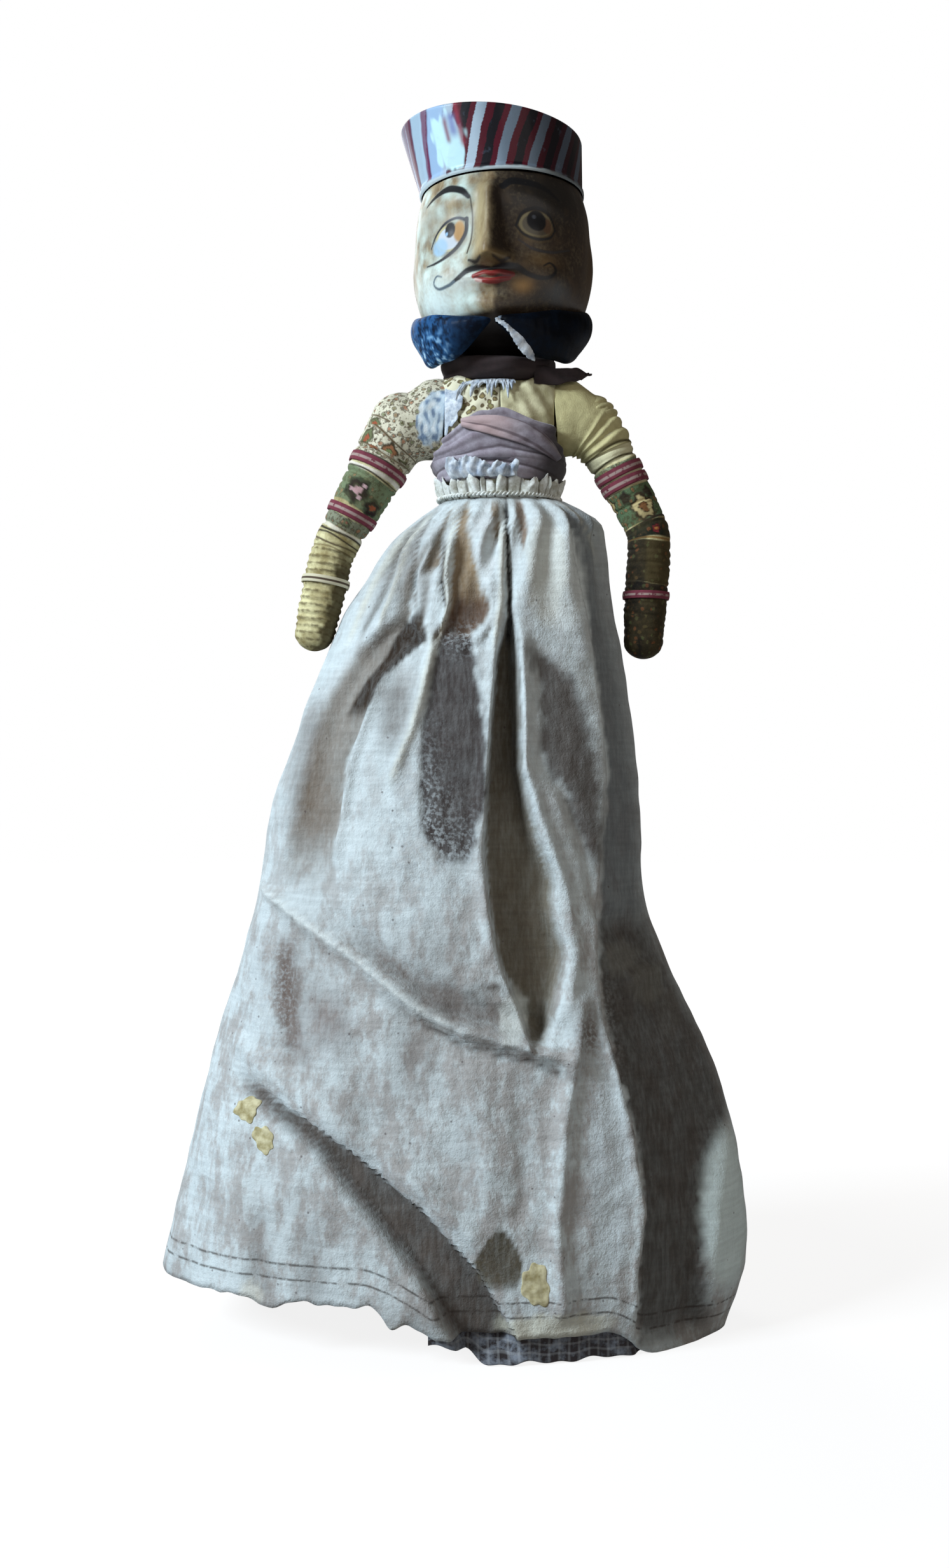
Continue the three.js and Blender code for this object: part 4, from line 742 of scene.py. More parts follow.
def beside_caps(points, grow):
    """Flattens what lies beside the shoulder caps, so that they can turn."""
    reach = np.hypot(points[:, 1], points[:, 2] - SHOULDER_HEIGHT)
    flat = 1 - smooth(reach, CAP_RADIUS + 0.6 + grow, CAP_RADIUS + 2.6 + grow)
    limit = SHIRT_SIDE - 0.4
    over = np.maximum(np.abs(points[:, 0]) - limit, 0) * flat
    points[:, 0] -= np.sign(points[:, 0]) * over
    return points


def shirt_half(side):
    """Places one half of the shirt; side is 1 on the puppet's left."""
    def to_half(u, v):
        turn = side * (0.006 + (math.pi - 0.012) * (u if side > 0 else 1 - u))
        # the last fifth of v closes the shoulder in to the neck
        height = SHIRT_FOOT + (SHIRT_TOP - SHIRT_FOOT) * np.clip(v / 0.8, 0, 1)
        inwards = smooth(v, 0.8, 1.0)
        points = shirt_point(turn, height, 0.25)
        points[:, :2] *= (1 - 0.5 * inwards)[:, None]
        points[:, 2] += 1.6 * np.sin(inwards * math.pi / 2)
        # a soft roll round the neck, just outside the neck cloth
        apart = np.hypot(points[:, 0], points[:, 1])
        roll = 4.6 * smooth(height, 404, 414) * smooth(apart, 17, 22.5)
        points[:, 2] += roll * smooth(np.abs(points[:, 0]), 4, 15)
        pull = 0.6 * roughness_at(points * (1, 1, 0.5), 6, 12) + 0.3 * roughness_at(points, 2.6, 13)
        # creases that run from the neck to the armhole
        crease = 0.4 * np.sin(points[:, 2] * 0.5 + np.abs(points[:, 0]) * 0.75) * smooth(height, 388, 398)
        return beside_caps(pushed(points, turn, pull + crease), 0)
    return to_half


# Fine olive yellow cotton, matt, with its weave as a faint relief. On both halves the threads
# are drawn 0.6 mm apart, coarser than they are, to show.
olive, shader, at = new_material("olive_cotton")
SHIRT_THREAD, OLIVE_BLOTCH = 0.0006, 0.009
_, tone = blotched(olive, at["Object"], OLIVE_BLOTCH, (0.35, 0.68), "#a7a17c", "#e4e1bc")
weave = add_node(olive, "TexNoise", {"Vector": at["Object"], "Scale": 1 / SHIRT_THREAD, "Detail": 2.0})
olive_bump = add_node(olive, "Bump", {"Height": weave, "Strength": 0.4, "Distance": 0.0003})
fill(olive, shader, {"Base Color": tone, "Normal": olive_bump, "Roughness": 0.9, "Specular IOR Level": 0.2})

# Printed cotton: cream ground, green leaves with brown outlines about 3 mm apart
printed, shader, at = new_material("printed_cotton")
LEAF_SPACING, LEAF_WANDER = 0.0030, 0.003
printed_wander = add_node(printed, "TexNoise", {"Vector": at["Object"], "Scale": 1 / LEAF_WANDER})
moved = add_node(printed, "VectorMath",
                 {0: printed_wander.outputs["Color"], 1: (0.0022, 0.0022, 0.0022), 2: at["Object"]},
                 operation="MULTIPLY_ADD")
leaf = add_node(printed, "TexVoronoi", {"Vector": moved, "Scale": 1 / LEAF_SPACING})
printed_rim = add_node(printed, "MapRange", {0: leaf.outputs["Distance"], 1: 0.28, 2: 0.36})
gap = add_node(printed, "MapRange", {0: leaf.outputs["Distance"], 1: 0.44, 2: 0.52})
hue = add_node(printed, "Mix", {0: leaf.outputs["Color"], 6: "#7f8a5a", 7: "#97805a"})
line = add_node(printed, "Mix", {0: printed_rim, 6: hue, 7: "#6b5f48"})
tone = add_node(printed, "Mix", {0: gap, 6: line, 7: "#dbd8bd"})
weave = add_node(printed, "TexNoise", {"Vector": at["Object"], "Scale": 1 / SHIRT_THREAD})
printed_bump = add_node(printed, "Bump", {"Height": weave, "Strength": 0.4, "Distance": 0.0003})
fill(printed, shader, {"Base Color": tone, "Normal": printed_bump, "Roughness": 0.9,
                       "Specular IOR Level": 0.2})

for shirt_name, side, cloth in (("shirt_left", 1, olive), ("shirt_right", -1, printed)):
    half = finished(f"{shirt_name}_cloth", shaped_grid(110, 80, shirt_half(side)), cloth, thickness=0.0004)
    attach(half, "body")
    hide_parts(shirt_name)


# Torn patch
# A scrap of pale blue cotton on the front of the right shoulder, torn along its edges. It
# stays a little further from the shoulder caps than the shirt does, as the sash does too.
SASH_GROW = 2.0


def to_torn_patch(u, v):
    x, z = rounded(u, v, 0.35)
    angle = np.arctan2(z, x)
    reach = 1 + 0.12 * np.sin(3 * angle + 1) + 0.09 * np.sin(8 * angle) + 0.05 * np.sin(15 * angle + 2)
    height = 401.5 + 10.5 * z * reach
    across = -21.5 + 4.8 * x * reach + 2.0 * z
    on_shirt = np.clip(height, SHIRT_FOOT, SHIRT_TOP)
    turn = np.arcsin(np.clip(across / along(SHIRT, on_shirt, 1), -0.92, 0.92))
    points = shirt_point(turn, on_shirt, 1.3)
    points[:, 2] = height
    crumple = 0.7 * roughness_at(points * (1, 1, 1.4), 4, 21) + 0.35 * roughness_at(points, 1.8, 22)
    return beside_caps(pushed(points, turn, crumple), SASH_GROW)


# Worn pale blue cotton, limp and matt, nearly white where its colour has gone
blue, shader, at = new_material("pale_blue_cotton")
BLUE_BLOTCH = 0.0035
wear, tone = blotched(blue, at["Object"], BLUE_BLOTCH, (0.36, 0.62), "#909fb1", "#d6dee4", 6.0, 0.65)
blue_bump = add_node(blue, "Bump", {"Height": wear, "Strength": 0.6, "Distance": 0.0006})
fill(blue, shader, {"Base Color": tone, "Normal": blue_bump, "Roughness": 0.85})
torn = finished("torn_patch_cloth", shaped_grid(34, 50, to_torn_patch), blue, thickness=0.0004, offset=1.0)
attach(torn, "body")
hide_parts("torn_patch")


# Sash
# A long strip of mauve brown cotton wound twice round the body. Its upper turn rises to a
# peak at the breast, and its end is folded down across the front.
SASH_FOOT = 375.5
SASH_STEP = 380.0
SASH_LOWEST = 371.4
# What a placing function leaves for the painting of its piece
kept = {}


def sash_top(turn):
    """Height of the upper turn's top, with its peak in front."""
    return (SASH_FOOT + 12.5 + 4 * smooth(np.abs(turn), 1.1, 2.2) + 13 * bump(turn, -0.08, 0.50)
            + 5 * bump(turn, 0.75, 0.45) - 1.5 * bump(turn, -0.13, 0.10))


def wound(low, high_at, outwards, seed, creases):
    """Places a turn of the sash between a height and the top that it has there."""
    def to_turn(u, v):
        turn = (u - 0.5) * 2 * math.pi
        height = low + (high_at(turn) - low) * v
        points = shirt_point(turn, height, outwards)
        lean = v * creases * 2 * math.pi + 1.4 * np.sin(turn + seed) + 2.0 * np.abs(turn)
        crease = 0.55 * np.sin(lean) + 0.22 * np.sin(2.3 * lean + seed)
        kept["crease"], kept["turn"] = crease, turn
        roll = -0.9 * bump(v, 1.0, 0.05) - 0.9 * bump(v, 0.0, 0.05)
        pull = crease + roll + 0.45 * roughness_at(points * (0.6, 0.6, 1.5), 5, seed)
        return beside_caps(pushed(points, turn, pull), SASH_GROW)
    return to_turn


# Dull mauve brown cotton with a faint sheen, with painted shade in its creases. Its threads are
# drawn 0.5 mm apart, coarser than they are, to show.
mauve, shader, at = new_material("mauve_brown_cotton")
SASH_THREAD, SASH_BLOTCH = 0.0005, 0.007
_, tone = blotched(mauve, at["Object"], SASH_BLOTCH, (0.34, 0.66), "#7d737e", "#aeaab6", 7.0, 0.65)
# painted shade laid on the sash, and a paler pink at the fold's end
mauve_light_and_shade = add_node(mauve, "Attribute", attribute_name="soil_light_and_shade")
soiled_and_shaded = add_node(mauve, "Mix", {0: mauve_light_and_shade.outputs["Alpha"], 6: tone, 7: mauve_light_and_shade.outputs["Color"]})
weave = add_node(mauve, "TexNoise", {"Vector": at["Object"], "Scale": 1 / SASH_THREAD, "Detail": 2.0})
mauve_bump = add_node(mauve, "Bump", {"Height": weave, "Strength": 0.35, "Distance": 0.0003})
fill(mauve, shader, {"Base Color": soiled_and_shaded, "Normal": mauve_bump, "Roughness": 0.9, "Sheen Weight": 0.2})

sash_turns = [
    ("sash_lower", wound(SASH_LOWEST, lambda turn: SASH_STEP + 1.5, 1.6, 31, 1.2), (0.175, 0.0105)),
    ("sash_upper", wound(SASH_STEP - 0.5, sash_top, 2.2, 33, 1.9), (0.18, 0.0165)),
]
for node_name, place, flat in sash_turns:
    strip_bm = shaped_grid(240, 34, place)
    light_and_shade = np.zeros((len(kept["turn"]), 4))
    # painted shade in the creases, and on the side towards the puppet's left
    laid_over(light_and_shade, "#3b2f36", 0.8 * smooth(-kept["crease"], 0.38, 0.72))
    laid_over(light_and_shade, "#1b1516", 0.92 * smooth(kept["turn"], 0.35, 0.85))
    paint(strip_bm, "soil_light_and_shade", light_and_shade)
    strip = finished(f"{node_name}_cloth", strip_bm, mauve, thickness=0.0005, offset=1.0)
    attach(strip, "body")
    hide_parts(node_name)


def to_fold(u, v):
    """The folded end, from the peak down to the puppet's left."""
    turn = -0.48 + 1.42 * u
    middle = SASH_FOOT + 19.0 - 13.5 * u + 2.5 * np.sin(math.pi * u)
    width = 4.8 * (0.12 + 0.88 * np.sin(math.pi * np.clip(u * 0.92 + 0.04, 0, 1)) ** 0.8)
    height = middle + (v - 0.5) * 2 * width
    points = shirt_point(turn, height, 3.0 + 1.1 * np.sin(v * math.pi))
    kept["crease"], kept["along"], kept["across"] = np.sin(v * 9 + u * 4), u, v
    pull = 0.4 * kept["crease"] + 0.4 * roughness_at(points * (0.6, 0.6, 1.6), 4, 35)
    return pushed(points, turn, pull)


fold_bm = shaped_grid(110, 34, to_fold)
light_and_shade = np.zeros((len(kept["along"]), 4))
# the end near the peak paler pink, partly a painted highlight; painted shade in its creases, along its lower
# edge and towards the puppet's left
laid_over(light_and_shade, "#c2a7a6", 0.75 * (1 - smooth(kept["along"], 0.25, 0.6)))
laid_over(light_and_shade, "#4a3b42", 0.7 * smooth(-kept["crease"], 0.6, 0.95))
laid_over(light_and_shade, "#33282d", 0.9 * (1 - smooth(kept["across"], 0.0, 0.10)))
laid_over(light_and_shade, "#2c2227", 0.5 * smooth(kept["along"], 0.6, 0.95))
paint(fold_bm, "soil_light_and_shade", light_and_shade)
fold = finished("sash_fold_cloth", fold_bm, mauve, thickness=0.0006, offset=1.0)
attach(fold, "body")
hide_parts("sash_fold")


# Frayed edge
# The torn edge of the shirt's pale blue lining, which hangs out below the sash's peak in
# small puffs with loose threads.
def to_frayed(u, v):
    turn = -0.85 + 1.1 * u
    ragged = 0.5 * np.sin(u * 83) * np.sin(u * 31)
    puff = np.abs(np.sin(u * 11 + 0.8 * np.sin(u * 7)))
    height = SASH_LOWEST + 0.2 + v * (5.4 + 2.2 * puff + ragged * v + 1.5 * np.sin(u * 5 + 0.6))
    points = shirt_point(turn, height, 3.0 + 1.6 * puff * (0.4 + 0.6 * v) + 1.0 * np.sin(v * math.pi))
    pull = 1.3 * roughness_at(points, 3.0, 38) + 0.6 * np.sin(u * 47 + 2 * np.sin(v * 4))
    return pushed(points, turn, pull)


frayed = finished("frayed_edge_cloth", shaped_grid(160, 16, to_frayed), blue, thickness=0.0003, offset=1.0)
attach(frayed, "body")
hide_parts("frayed_edge")


# Neckline threads
# White threads of the shirt's torn neckline, hanging at the middle of the breast.
def to_neck_fray(u, v):
    turn = -0.62 + 0.86 * u
    strands = np.abs(np.sin(u * 37 + 2 * np.sin(u * 9))) * (0.5 + 0.5 * np.sin(u * 23 + 1))
    height = SHIRT_TOP + 0.1 - v * (2.5 + 7.5 * strands)
    points = shirt_point(turn, height, 2.0 + 1.4 * np.sin(v * math.pi))
    return pushed(points, turn, 0.6 * roughness_at(points, 1.8, 39))


neck_fray = finished("neckline_threads", shaped_grid(200, 12, to_neck_fray), blue, thickness=0.0003,
                     offset=1.0)
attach(neck_fray, "body")


# Waist ruffle and string
# The skirt's raw heading stands above its drawstring in small uneven pleats of cream cotton
# with a frayed top edge. The string is two strands twisted together and tied tight.
RUFFLE_HEIGHT = 11
RUFFLE_PLEATS = 32


def to_ruffle(u, v):
    """Pleats that lean to and fro, each puffed out towards its top."""
    turn = (u - 0.5) * 2 * math.pi
    uneven = turn + 0.06 * np.sin(turn * 5 + 1) + 0.04 * np.sin(turn * 11 + 3)
    phase = uneven * RUFFLE_PLEATS + 1.2 * np.sin(turn * 3.0 + 2) + 0.6 * np.sin(turn * 8)
    puff = np.abs(np.sin(phase / 2)) ** 0.6
    swing = 0.45 + 0.55 * smooth(v, 0.0, 0.7)
    lean = 0.5 * np.cos(phase / 2 + 0.6) / 25 * swing
    ragged = 0.5 * np.sin(turn * 47) * np.sin(turn * 17) + 0.15 * np.sin(turn * 133 + 2)
    crumple = 0.9 * roughness_at(np.stack([np.sin(turn) * 28, np.cos(turn) * 20, v * 9], axis=1), 3.2, 51)
    top = RUFFLE_HEIGHT - 3.6 + 1.5 * puff + ragged * v + 1.2 * np.sin(turn * 9) + 1.0 * np.sin(turn * 23 + 1)
    height = WAIST - 0.5 + v * top
    billow = 2.8 * puff * swing * (0.75 + 0.35 * np.sin(turn * 13 + 1))
    out = 1.2 + billow + 0.9 * np.sin(v * math.pi) + crumple * v
    points = shirt_point(turn + lean, np.maximum(height, SHIRT_FOOT), out)
    points[:, 2] = height
    kept["puff"], kept["rise"] = puff, v
    return points


# Cream cotton, bright on its pleats, with brown painted shade between them
cream, shader, at = new_material("cream_cotton")
DIRT_SIZE = 0.004
dirt, tone = blotched(cream, at["Object"], DIRT_SIZE, (0.38, 0.66), "#eef4f2", "#a5a595", 6.0, 0.7)
crease = add_node(cream, "Attribute", attribute_name="crease")
cream_crease_shaded = add_node(cream, "Mix", {0: crease.outputs["Fac"], 6: tone, 7: "#4c412d"})
cream_bump = add_node(cream, "Bump", {"Height": dirt, "Strength": 0.5, "Distance": 0.0005})
fill(cream, shader, {"Base Color": cream_crease_shaded, "Normal": cream_bump, "Roughness": 0.95})

ruffle_bm = shaped_grid(720, 18, to_ruffle)
# painted shade between the pleats, less towards their top
paint(ruffle_bm, "crease", 0.9 * smooth(0.62 - kept["puff"], 0.0, 0.4) * (1 - 0.4 * kept["rise"]))
ruffle = finished("waist_ruffle_cloth", ruffle_bm, cream, thickness=0.0004)
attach(ruffle, "body")
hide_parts("waist_ruffle")

STRING_RADIUS = 0.55
STRING_TWISTS = 46


def string_strand(strand):
    """Places one of the string's two strands, which wind round each other."""
    def to_strand(u, v):
        turn = (v - 0.5) * 2 * math.pi
        around = u * 2 * math.pi
        twist = turn * STRING_TWISTS + strand * math.pi
        beside = -0.9 + 0.5 * np.cos(twist) + STRING_RADIUS * np.cos(around)
        above = 0.5 * np.sin(twist) + STRING_RADIUS * np.sin(around)
        points = shirt_point(turn, np.full_like(turn, SHIRT_FOOT), 4.6 + beside)
        points[:, 2] = WAIST + 0.9 + above
        return points
    return to_strand


string_bm = shaped_grid(6, 560, string_strand(0))
second_bm = shaped_grid(6, 560, string_strand(1))
second_mesh = bpy.data.meshes.new("second_strand")
second_bm.to_mesh(second_mesh)
second_bm.free()
string_bm.from_mesh(second_mesh)
bpy.data.meshes.remove(second_mesh)
string = finished("twisted_string", string_bm, cream, closed=True)
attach(string, "body")
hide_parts("waist_string")


# Arms
# Cotton sleeves stuffed hard with rag and closed at the finger end. The cloth is drawn tight
# in fine ribs across the arm, with printed bands and braid sewn round it. Its shape is bent at the elbow.
ARMS = [
    {"name": "left", "side": 1, "shoulder": (41.5, 399.5), "elbow": (67.5, 350), "tip": (64, 293.6),
     "radii": (12, 10.2, 9.2, 9.3, 8.2), "bands": (0.56, 0.68), "wrist": 0.5, "seed": 51},
    {"name": "right", "side": -1, "shoulder": (43.5, 398.5), "elbow": (74.5, 342.5), "tip": (84.5, 297.3),
     "radii": (14, 12, 9.6, 9.4, 7.8), "bands": (0.42, 0.86), "wrist": 0.32, "seed": 52},
]
BEND_REACH = 9.0
WRAP_SPACING = 3.1
SHOULDER_RISE, SHOULDER_REACH, SHOULDER_HEAP = 1.5, 16, 4.6
SHOULDER_PLEATS = (0.62, 0.76, 0.90)
# Printed zones down each sleeve: from, to in millimetres from the shoulder, ground colour,
# share of the small printed marks
ZONES = {
    "left": [(-20, 9, "#cdc796", 0.0), (9, 22, "#dcd9b4", 0.0), (7.4, 8.2, "#4f4a30", 0),
             (13.2, 13.9, "#5d573c", 0), (20.6, 21.4, "#4a4630", 0), (22.4, 27, "#8a9478", 0.9),
             (28, 29.6, "#d8cfae", 0), (33.6, 34.6, "#cfc7a6", 0), (34.6, 51, "#587052", 0.7),
             (51, 52, "#2a2420", 0), (52, 59, "#20241b", 0.4), (59, 60, "#8a6a3c", 0),
             (60, 79, "#3f3721", 0.3), (79, 83, "#211b17", 0.3), (83, 125, "#2b2618", 0.4)],
    "right": [(-20, 20, "#dedbc4", 1.0), (3.5, 4.2, "#5a4a34", 0), (11.5, 12.3, "#4f3f2e", 0),
              (16.4, 17, "#6a5238", 0), (20, 21, "#3b342c", 0), (25.2, 27.2, "#e4dfd2", 0),
              (27.2, 28, "#37322b", 0), (28, 43.5, "#788768", 0.55), (48.8, 54.5, "#868b76", 0.8),
              (54.5, 56.4, "#e2decb", 0), (56.4, 57.4, "#2f2b26", 0), (59, 59.8, "#2f2b26", 0),
              (61.5, 62.2, "#54483a", 0), (64.5, 65.0, "#7a6c48", 0)],
}
# Distances down each arm where a thread draws the cloth in
DRAWN_IN = {"left": (-5, -1, 3.4, 7.8, 13.5, 20.8), "right": (18, 30, 48, 54)}
# Printed flowers: distance, angle round the arm, size, petal, edge and heart colours
FLOWERS = {
    "left": [(45.0, 0.15, 6.6, "#c8b988", "#2a2019", "#7c5433"),
             (38, -1.5, 4.4, "#b9a877", "#2a2019", "#7c4a34"),
             (46, 1.9, 4.6, "#c2b080", "#2a2019", "#8a5a36"),
             (39.5, 0.75, 3.0, "#241d18", "#30382c", "#241d18"),
             (38.0, -0.45, 3.2, "#241d18", "#30382c", "#241d18"),
             (55.5, 0.3, 2.4, "#7c2a30", "#1a1214", "#c08048")],
    "right": [(36.5, -0.15, 6.4, "#1d191c", "#3a4434", "#c7a0a6"),
              (40.5, 0.75, 4.6, "#2a2021", "#46503f", "#a85a3e"),
              (33.6, 0.05, 1.0, "#c9a9ae", "#c9a9ae", "#c9a9ae"),
              (37.2, -0.42, 1.2, "#b8989e", "#b8989e", "#b8989e"),
              (39.2, 0.05, 1.0, "#c9a9ae", "#c9a9ae", "#c9a9ae"),
              (35, 2.2, 4.6, "#241f22", "#3f4a3c", "#c7a0a6"),
              (8, 0.2, 3.2, "#9a6a4a", "#40382a", "#7b8a5c"),
              (14, 0.8, 3.0, "#6f7a58", "#403528", "#a0583a"),
              (15, -0.4, 3.0, "#a3694c", "#403528", "#d0c79c"),
              (7, -0.8, 3.0, "#6f7a58", "#4a4a38", "#a8553c"),
              (51.5, 0.1, 2.2, "#5e6a50", "#2f2b26", "#8a5a4a")],
}


def limb_radius(arm, along_arm, upper_length, fore_length):
    """Radius of the arm at a distance from the shoulder's centre."""
    shoulder, swell, elbow, palm, end = arm["radii"]
    share = np.clip(along_arm / (upper_length - elbow - 0.3), 0, 1)
    swollen = (swell - (shoulder + elbow) / 2) * np.sin(math.pi * share)
    upper = shoulder + (elbow - shoulder) * share + swollen
    share = np.clip((along_arm - upper_length) / fore_length, 0, 1)
    fore = elbow + (end - elbow) * share + (palm - (elbow + end) / 2) * np.sin(math.pi * share)
    near_elbow = smooth(along_arm, upper_length - elbow, upper_length)
    return upper * (1 - near_elbow) + fore * near_elbow


def arm_frame(arm):
    """The shoulder, the directions of the upper arm and the forearm, and their lengths."""
    shoulder, elbow, tip = (np.array([p[0] * arm["side"], 0, p[1]], float) for p in
                            (arm["shoulder"], arm["elbow"], arm["tip"]))
    upper, fore = elbow - shoulder, tip - elbow
    lengths = np.linalg.norm(upper), np.linalg.norm(fore)
    return shoulder, upper / lengths[0], fore / lengths[1], lengths[0], lengths[1]


def on_arm(arm, distance, around, radius):
    """Points at a distance down the arm, at an angle round it and a radius from its middle."""
    shoulder, upper, fore, upper_length, _ = arm_frame(arm)
    t = np.clip((distance - upper_length + BEND_REACH) / (2 * BEND_REACH), 0, 1)
    turned = t * t * (3 - 2 * t)
    past = 2 * BEND_REACH * (t**3 - t**4 / 2) + np.maximum(distance - upper_length - BEND_REACH, 0)
    middle = shoulder + (distance - past)[:, None] * upper + past[:, None] * fore
    ahead = upper * (1 - turned)[:, None] + fore * turned[:, None]
    ahead /= np.linalg.norm(ahead, axis=1)[:, None]
    front = np.array([0.0, -1.0, 0.0])
    beside = np.cross(front, ahead)
    return middle + radius[:, None] * (np.cos(around)[:, None] * front + np.sin(around)[:, None] * beside)


def wrapping(distance, around):
    """Waves of the thread that is wound round the forearm, from -1 to 1."""
    winding = distance + 0.7 * np.sin(around + 1) + 0.3 * np.sin(around * 3)
    return np.sin(winding * 2 * math.pi / WRAP_SPACING)


def rib_depth(arm, distance, around):
    """Grooves where the thread pulls the cloth in, at uneven distances down the arm."""
    depth = np.zeros_like(distance)
    for place in DRAWN_IN[arm["name"]]:
        depth += 1.1 * bump(distance, place + 0.6 * np.sin(around + place), 0.9)
    wrapped = between(distance, 60, 66, 96, 108)
    wrapped = wrapped * (1.0 if arm["side"] < 0 else 0.35)
    depth += 0.55 * wrapped * (0.5 - 0.5 * wrapping(distance, around))
    random = np.random.default_rng(arm["seed"])
    place = 3.0
    while place < 112:
        phase, slant, strength = random.uniform(0, 6.3), random.uniform(0.3, 1.3), random.uniform(0.2, 0.62)
        groove = bump(distance, place + slant * np.sin(around + phase), 0.62)
        depth += strength * groove * (0.6 + 0.4 * np.cos(around * random.integers(1, 3) + phase))
        place += random.uniform(2.3, 4.2)
    return depth


# Printed cotton: matt, cream yellow under the print and grimy all over. Its threads are drawn
# 0.7 mm apart, coarser than they are, to show.
sleeve_cotton, shader, at = new_material("cream_yellow_sleeve_cotton")
GRIME_SIZE, FLECK_SIZE, SLEEVE_THREAD = 0.008, 0.0013, 0.0007
MARK_SPACING, MARK_WANDER = 0.0029, 0.0018
sleeve_print = add_node(sleeve_cotton, "Attribute", attribute_name="print")
sleeve_soil = add_node(sleeve_cotton, "TexNoise",
                       {"Vector": at["Object"], "Scale": 1 / GRIME_SIZE, "Detail": 6.0, "Roughness": 0.6})
soiled_and_shaded = add_node(sleeve_cotton, "MapRange", {0: sleeve_soil, 1: 0.38, 2: 0.66})
sleeve_motif = add_node(sleeve_cotton, "Attribute", attribute_name="motif")
ground = add_node(sleeve_cotton, "Mix", {0: soiled_and_shaded, 6: "#dcd6a8", 7: "#a39564"})
sleeve_wander = add_node(sleeve_cotton, "TexNoise", {"Vector": at["Object"], "Scale": 1 / MARK_WANDER})
moved = add_node(sleeve_cotton, "VectorMath",
                 {0: sleeve_wander.outputs["Color"], 1: (0.0016, 0.0016, 0.0016), 2: at["Object"]},
                 operation="MULTIPLY_ADD")
mark = add_node(sleeve_cotton, "TexVoronoi", {"Vector": moved, "Scale": 1 / MARK_SPACING})
sleeve_inside = add_node(sleeve_cotton, "MapRange", {0: mark, 1: 0.26, 2: 0.32, 3: 0.8, 4: 0.0})
off_line = add_node(sleeve_cotton, "Math", {0: mark.outputs["Distance"], 1: 0.37}, operation="SUBTRACT")
off_by = add_node(sleeve_cotton, "Math", {0: off_line}, operation="ABSOLUTE")
outline = add_node(sleeve_cotton, "MapRange", {0: off_by, 1: 0.04, 2: 0.10, 3: 0.7, 4: 0.0})
hue = add_node(sleeve_cotton, "MapRange", {0: mark.outputs["Color"], 1: 0.35, 2: 0.6})
sleeve_fill = add_node(sleeve_cotton, "Mix", {0: hue, 6: "#6f7a4e", 7: "#a5643f"})
sleeve_printed = add_node(sleeve_cotton, "Math", {0: sleeve_inside, 1: sleeve_motif.outputs["Fac"]},
                          operation="MULTIPLY")
lined = add_node(sleeve_cotton, "Math", {0: outline, 1: sleeve_motif.outputs["Fac"]}, operation="MULTIPLY")
sleeve_band = add_node(sleeve_cotton, "Mix",
                       {0: sleeve_print.outputs["Alpha"], 6: ground, 7: sleeve_print.outputs["Color"]})
filled = add_node(sleeve_cotton, "Mix", {0: sleeve_printed, 6: sleeve_band, 7: sleeve_fill})
inked = add_node(sleeve_cotton, "Mix", {0: lined, 6: filled, 7: "#3a3022"})
fleck = add_node(sleeve_cotton, "TexNoise", {"Vector": at["Object"], "Scale": 1 / FLECK_SIZE, "Detail": 2.0})
flecked = add_node(sleeve_cotton, "MapRange", {0: fleck, 1: 0.54, 2: 0.62, 4: 0.75})
sleeve_flecks = add_node(sleeve_cotton, "Math", {0: flecked, 1: sleeve_motif.outputs["Fac"]},
                         operation="MULTIPLY")
fine = add_node(sleeve_cotton, "Mix", {0: sleeve_flecks, 6: inked, 7: "#4d3d2a"})
sleeve_grime = add_node(sleeve_cotton, "Math", {0: soiled_and_shaded, 1: 0.35}, operation="MULTIPLY")
tone = add_node(sleeve_cotton, "Mix", {0: sleeve_grime, 6: fine, 7: "#5d5236"})
thread = add_node(sleeve_cotton, "TexNoise",
                  {"Vector": at["Object"], "Scale": 1 / SLEEVE_THREAD, "Detail": 2.0})
sleeve_bump = add_node(sleeve_cotton, "Bump", {"Height": thread, "Strength": 0.45, "Distance": 0.0004})
fill(sleeve_cotton, shader, {"Base Color": tone, "Normal": sleeve_bump, "Roughness": 0.9,
                             "Specular IOR Level": 0.2})

# Braid: crimson woven tape with a worn pale line down its middle
braid, shader, at = new_material("crimson_braid")
BRAID_BLOTCH = 0.0022
braid_split = add_node(braid, "SeparateXYZ", {0: at["UV"]})
braid_across = add_node(braid, "Math", {0: braid_split.outputs[1], 1: 0.31}, operation="SUBTRACT")
off = add_node(braid, "Math", {0: braid_across}, operation="ABSOLUTE")
braid_middle = add_node(braid, "MapRange", {0: off, 1: 0.06, 2: 0.11, 3: 1.0, 4: 0.0})
braid_fade = add_node(braid, "TexNoise", {"Vector": at["Object"], "Scale": 1 / BRAID_BLOTCH, "Detail": 5.0})
braid_left = add_node(braid, "MapRange", {0: braid_fade, 1: 0.36, 2: 0.46})
mask = add_node(braid, "Math", {0: braid_left, 1: braid_middle}, operation="MULTIPLY")
red = add_node(braid, "Mix", {0: braid_fade, 6: "#4c1726", 7: "#843748"})
tone = add_node(braid, "Mix", {0: mask, 6: red, 7: "#a08c86"})
lined = add_node(braid, "Mix", {0: braid_middle, 6: "#cfc9ae", 7: "#4a3c2e"})
braid_worn = add_node(braid, "Attribute", attribute_name="wear_and_light")
ground = add_node(braid, "Mix", {0: braid_worn.outputs["Fac"], 6: tone, 7: lined})
fill(braid, shader, {"Base Color": ground, "Roughness": 0.9})


